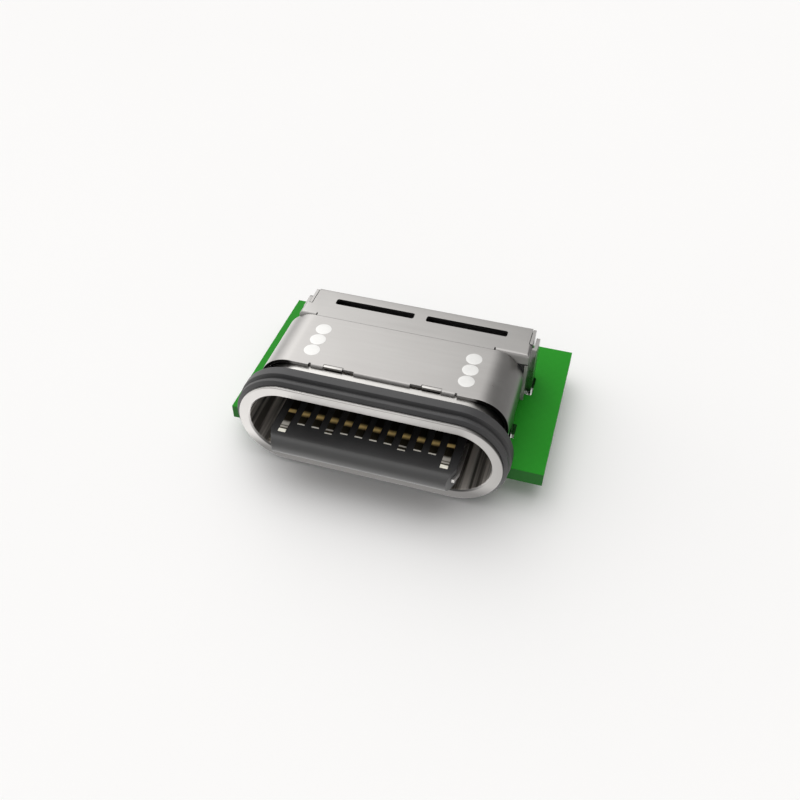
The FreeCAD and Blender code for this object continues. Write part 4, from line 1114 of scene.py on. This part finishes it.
@dataclass
class Mouth:
    """Drawn shell with its rim and stop lugs, and the rubber seal behind the rim."""

    mouth_width: float = 8.34
    mouth_height: float = 2.56
    wall: float = 0.10
    rim_depth: float = 0.12
    lead_in: float = 0.06
    lead_round: float = 0.06
    rim_round: float = 0.03
    edge: float = 0.03
    window_inner: float = 0.98
    lug_inner: float = 1.38
    lug_length: float = 0.64
    lug_slot: float = 0.05
    lug_depth: float = 0.08
    lug_gap: float = 0.004
    lug_top: float = 1.49
    lug_corner: float = 0.02
    lug_edge: float = 0.008
    hole_edge: float = 0.001
    seal_step: float = 0.04
    groove_drop: float = 0.15
    front_lip: float = 0.12
    back_lip: float = 0.34
    groove_floor: float = 0.07
    flank: float = 0.07
    rear_flank: float = 0.02
    shoulder: float = 0.14
    lip_round: float = 0.03
    flank_round: float = 0.04
    foot_round: float = 0.01

    def build(self) -> None:
        """Build the shell, its stop lugs and the seal."""
        path = Stadium((self.mouth_width - self.mouth_height) / 2)
        _, high = corners_of("mouth_shell")
        inner = self.mouth_height / 2
        outer = inner + self.wall
        section = self._shell_section(inner, outer, high[2], high[1])
        shell = write_mesh("mouth_shell_skin", path.carry(section))
        cover = corners_of("cover_bracket")[0][1]
        pierce(shell, joined(self._holes(inner, outer, cover)))
        steel = STEEL_DRAWN.material()
        dress(shell, steel, ["mouth_shell"])
        dress(write_mesh("stop_lugs", joined(self._lugs(cover))), steel)
        seal_low, seal_high = corners_of("seal_ring")
        ring = path.carry(self._seal_section(outer, seal_low[1], seal_high[2]))
        dress(write_mesh("seal_skin", ring), RUBBER.material(), ["seal_ring"])

    def _shell_section(self, inner: float, outer: float, rim: float, back: float) -> np.ndarray:
        """Section of the shell: inner wall, lead-in, rim face, rim edge, outer wall, back edge."""
        corners = (
            (self.lead_in, inner),
            (0.0, inner + self.lead_in),
            (0.0, rim),
            (self.rim_depth, rim),
            (self.rim_depth, outer),
            (back, outer),
            (back, inner),
        )
        radii = (self.lead_round, self.rim_round, self.rim_round, *(self.edge,) * 4)
        return round_corners(corners, radii, steps=6)

    def _lugs(self, cover: float) -> list[Patch]:
        """The two stop lugs on the roof, placed from the front of the cover."""
        front = cover + self.lug_slot
        foot = self.mouth_height / 2 + self.wall / 2
        _, outer, depth = Cover.window
        outer -= self.lug_gap
        back = cover + depth - self.lug_gap
        right = box_outline(self.lug_inner, front, outer, back, self.lug_corner)
        left = box_outline(-outer, front, -self.lug_inner, back, self.lug_corner)
        return [prism(side, foot, self.lug_top, self.lug_edge, 2) for side in (right, left)]

    def _holes(self, inner: float, outer: float, cover: float) -> list[Patch]:
        """The angled hole that each lug was lanced from, as solids to be taken away."""
        lug_front = cover + self.lug_slot
        lug_back = lug_front + self.lug_depth
        lug_outer = self.lug_inner + self.lug_length
        right = np.array(
            (
                (self.window_inner, cover),
                (lug_outer, cover),
                (lug_outer, lug_front),
                (self.lug_inner, lug_front),
                (self.lug_inner, lug_back),
                (self.window_inner, lug_back),
            )
        )
        left = (right * (-1, 1))[::-1]
        low, high = inner - self.wall, outer + self.wall
        return [prism(side, low, high, self.hole_edge, 2) for side in (right, left)]

    def _seal_section(self, inner: float, front: float, crest: float) -> np.ndarray:
        """Section of the seal: two lips with a groove between them, on a flat foot."""
        low_crest = crest - self.seal_step
        floor = crest - self.groove_drop
        rise = front + self.flank
        fall = rise + self.front_lip
        floor_front = fall + self.flank
        floor_back = floor_front + self.groove_floor
        second_rise = floor_back + self.flank
        second_fall = second_rise + self.back_lip
        back = second_fall + self.rear_flank
        corners = (
            (front, inner),
            (front, low_crest - self.shoulder),
            (rise, low_crest),
            (fall, low_crest),
            (floor_front, floor),
            (floor_back, floor),
            (second_rise, crest),
            (second_fall, crest),
            (back, crest - self.shoulder),
            (back, inner),
        )
        lips = (self.lip_round,) * 6
        radii = (self.foot_round, self.flank_round, *lips, self.flank_round, self.foot_round)
        return round_corners(corners, radii, steps=5, guard=FINE_GUARD)


@dataclass
class Inside:
    """Rear shell, moulding, plates, contacts, resin and board: packed forms with fine edges."""

    edge: float = 0.015
    fine_edge: float = 0.008
    contacts: int = 12
    power: tuple[int, ...] = (4, 9)

    def build(self) -> None:
        """Build every piece that keeps its packed form."""
        self._copy("rear_shell", "rear_skin", STEEL_REAR.material(), self.edge)
        black = BLACK_PLASTIC.material()
        self._copy("tongue_moulding", "tongue_skin", black, self.edge)
        # The plate and pads carry painted shade on their left side.
        plate = STEEL_PLATE.material()
        self._copy("middle_plate", "plate_skin", plate, self.fine_edge)
        self._copy("upper_ground_pad", "upper_pad_skin", plate, self.fine_edge)
        self._copy("lower_ground_pad", "lower_pad_skin", plate, self.fine_edge)
        self._copy("sealing_resin", "resin_skin", POURED_RESIN.material(), self.edge)
        self._copy("circuit_board", "board_skin", MASK.material(), self.edge)
        # The contacts take painted bands of light and shade, with real gold at their feet.
        signal, power, end = (
            banding.material() for banding in (SIGNAL_BANDS, POWER_BANDS, END_BANDS)
        )
        for row in ("upper", "lower"):
            for number in range(1, self.contacts + 1):
                node = f"{row}_contact_{number:02d}"
                gold = power if number in self.power else signal
                gold = end if number in (1, self.contacts) else gold
                self._copy(node, f"{node}_skin", gold, self.fine_edge)

    def _copy(self, node: str, name: str, material: Material, edge: float) -> None:
        """Copy one node with rounded edges and dress it."""
        dress(edged_copy(node, name, edge), material, [node])


@dataclass(frozen=True)
class Viewpoint:
    """Camera at the photograph's place: lens, turn about the object and place in millimetres."""

    focal_pixels: float = 848.9
    frame_pixels: float = 800.0
    sensor: float = 36.0
    pitch: float = math.radians(43.73)
    yaw: float = math.radians(-16.02)
    roll: float = math.radians(-0.79)
    place: tuple[float, float, float] = (6.34, -18.18, 20.42)
    clip: Span = (1.0, 5000.0)

    def build(self) -> None:
        """Make the camera and look through it."""
        forward = Vector(
            (
                math.sin(self.yaw) * math.cos(self.pitch),
                math.cos(self.yaw) * math.cos(self.pitch),
                -math.sin(self.pitch),
            )
        )
        level = Vector((math.cos(self.yaw), -math.sin(self.yaw), 0))
        down = forward.cross(level)
        right = level * math.cos(self.roll) + down * math.sin(self.roll)
        up = level * math.sin(self.roll) - down * math.cos(self.roll)
        turned = Matrix((right, up, -forward)).transposed().to_4x4()
        data = bpy.data.cameras.new("camera")
        data.sensor_width = self.sensor
        data.lens = self.focal_pixels / self.frame_pixels * self.sensor
        data.clip_start, data.clip_end = (limit * MM for limit in self.clip)
        camera = link("camera", data)
        camera.matrix_world = Matrix.Translation(Vector(self.place) * MM) @ turned
        bpy.context.scene.camera = camera


@dataclass(frozen=True)
class Glow:
    """A lighter or darker part of the room: which way it lies and how its shade runs out.

    The stops are pairs of the cosine of the angle from the middle and the factor there.
    """

    turn: float
    height: float
    stops: tuple[Span, ...]

    def direction(self) -> tuple[float, float, float]:
        """Unit vector to the middle, for a turn from +Y towards +X and a height in degrees."""
        turn, height = math.radians(self.turn), math.radians(self.height)
        level = math.cos(height)
        return (math.sin(turn) * level, math.cos(turn) * level, math.sin(height))

    def factor(self, graph: Graph, seen: NodeSocket) -> Signal:
        """Shade factor for a direction that is looked in."""
        settings = {"operation": "DOT_PRODUCT"}
        dot = graph.node("ShaderNodeVectorMath", settings, {0: seen, 1: self.direction()})
        cosine = Signal(graph, dot.outputs["Value"])
        total: Any = self.stops[0][1]
        for (low, before), (high, behind) in zip(self.stops, self.stops[1:]):
            total = total + cosine.straight_between(low, high) * (behind - before)
        return total


@dataclass
class Studio:
    """Plain pale floor in a pale room with a bright back left and a dark back right."""

    floor_half: float = 400.0
    floor_steps: int = 96
    floor_rings: int = 12
    floor_middle: float = 0.02
    floor_finish: Finish = PaleFloor()
    tint: Shade = (1.0, 0.99, 0.98)
    strength: float = 1.92
    dark_side: Glow = Glow(
        58,
        5,
        (
            (-1.0, 1.12), (0.10, 1.12), (0.26, 0.98), (0.40, 0.86), (0.50, 0.78),
            (0.60, 0.50), (0.68, 0.35), (0.80, 0.26), (0.95, 0.19),
        ),
    )
    bright_side: Glow = Glow(
        -38,
        32,
        ((0.853, 1.0), (0.889, 1.04), (0.935, 1.27), (0.977, 1.76), (0.99, 2.1), (1.0, 2.25)),
    )
    back_sky: Glow = Glow(-16, 42, ((0.50, 1.0), (0.75, 0.62), (0.86, 0.46), (1.0, 0.44)))
    left_low: Glow = Glow(-40, -30, ((0.62, 1.0), (0.85, 0.58), (0.95, 0.58), (1.0, 0.64)))
    right_side: Glow = Glow(112, 10, ((0.4, 1.0), (0.95, 0.55)))
    front_side: Glow = Glow(180, 35, ((0.0, 1.0), (0.5, 0.54), (0.85, 0.24)))
    overhead: Glow = Glow(-20, 80, ((0.6, 1.0), (0.78, 1.3), (0.95, 2.40)))

    def build(self, ground: float) -> None:
        """Build the floor at the height of the object's lowest point, and the room."""
        self._floor(ground)
        self._room()
        bpy.context.scene.view_settings.view_transform = "Standard"

    def _floor(self, ground: float) -> None:
        """Lay the floor: one flat sheet with rings that widen away from the object."""
        radius = self.floor_half * np.linspace(self.floor_middle, 1, self.floor_rings) ** 2
        x, y = rings(radius, self.floor_steps)
        points = np.stack((x, y, np.full(x.shape, ground)), axis=-1).reshape(-1, 3)
        faces = grid_faces(self.floor_rings, self.floor_steps, False, True)
        faces.append(list(range(self.floor_steps)))
        mesh = bpy.data.meshes.new("floor")
        mesh.from_pydata((points * MM).tolist(), [], faces)
        floor = link("floor", mesh)
        mesh.materials.append(self.floor_finish.material())
        floor.visible_glossy = False
        floor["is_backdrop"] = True

    def _room(self) -> None:
        """Light the room: its strength times the glows' factors, slightly warm."""
        world = bpy.data.worlds.new("room")
        graph = Graph(world)
        seen = graph.node("ShaderNodeTexCoord").outputs["Generated"]
        around = (self.dark_side, self.bright_side, self.left_low, self.right_side)
        strength: Any = self.strength
        for glow in (*around, self.back_sky, self.front_side, self.overhead):
            strength = strength * glow.factor(graph, seen)
        inputs = {0: colour(*self.tint), 1: strength}
        background = graph.node("ShaderNodeBackground", None, inputs)
        output = graph.node("ShaderNodeOutputWorld")
        graph.tree.links.new(background.outputs[0], output.inputs[0])
        bpy.context.scene.world = world


def main() -> None:
    """Build the looks piece by piece."""
    logging.basicConfig(level=logging.INFO, format="%(name)s %(message)s")
    cad_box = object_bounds()
    Mouth().build()
    Cover().build()
    Inside().build()
    Viewpoint().build()
    Studio().build(cad_box[0][2] / MM)


if __name__ == "__main__":
    main()
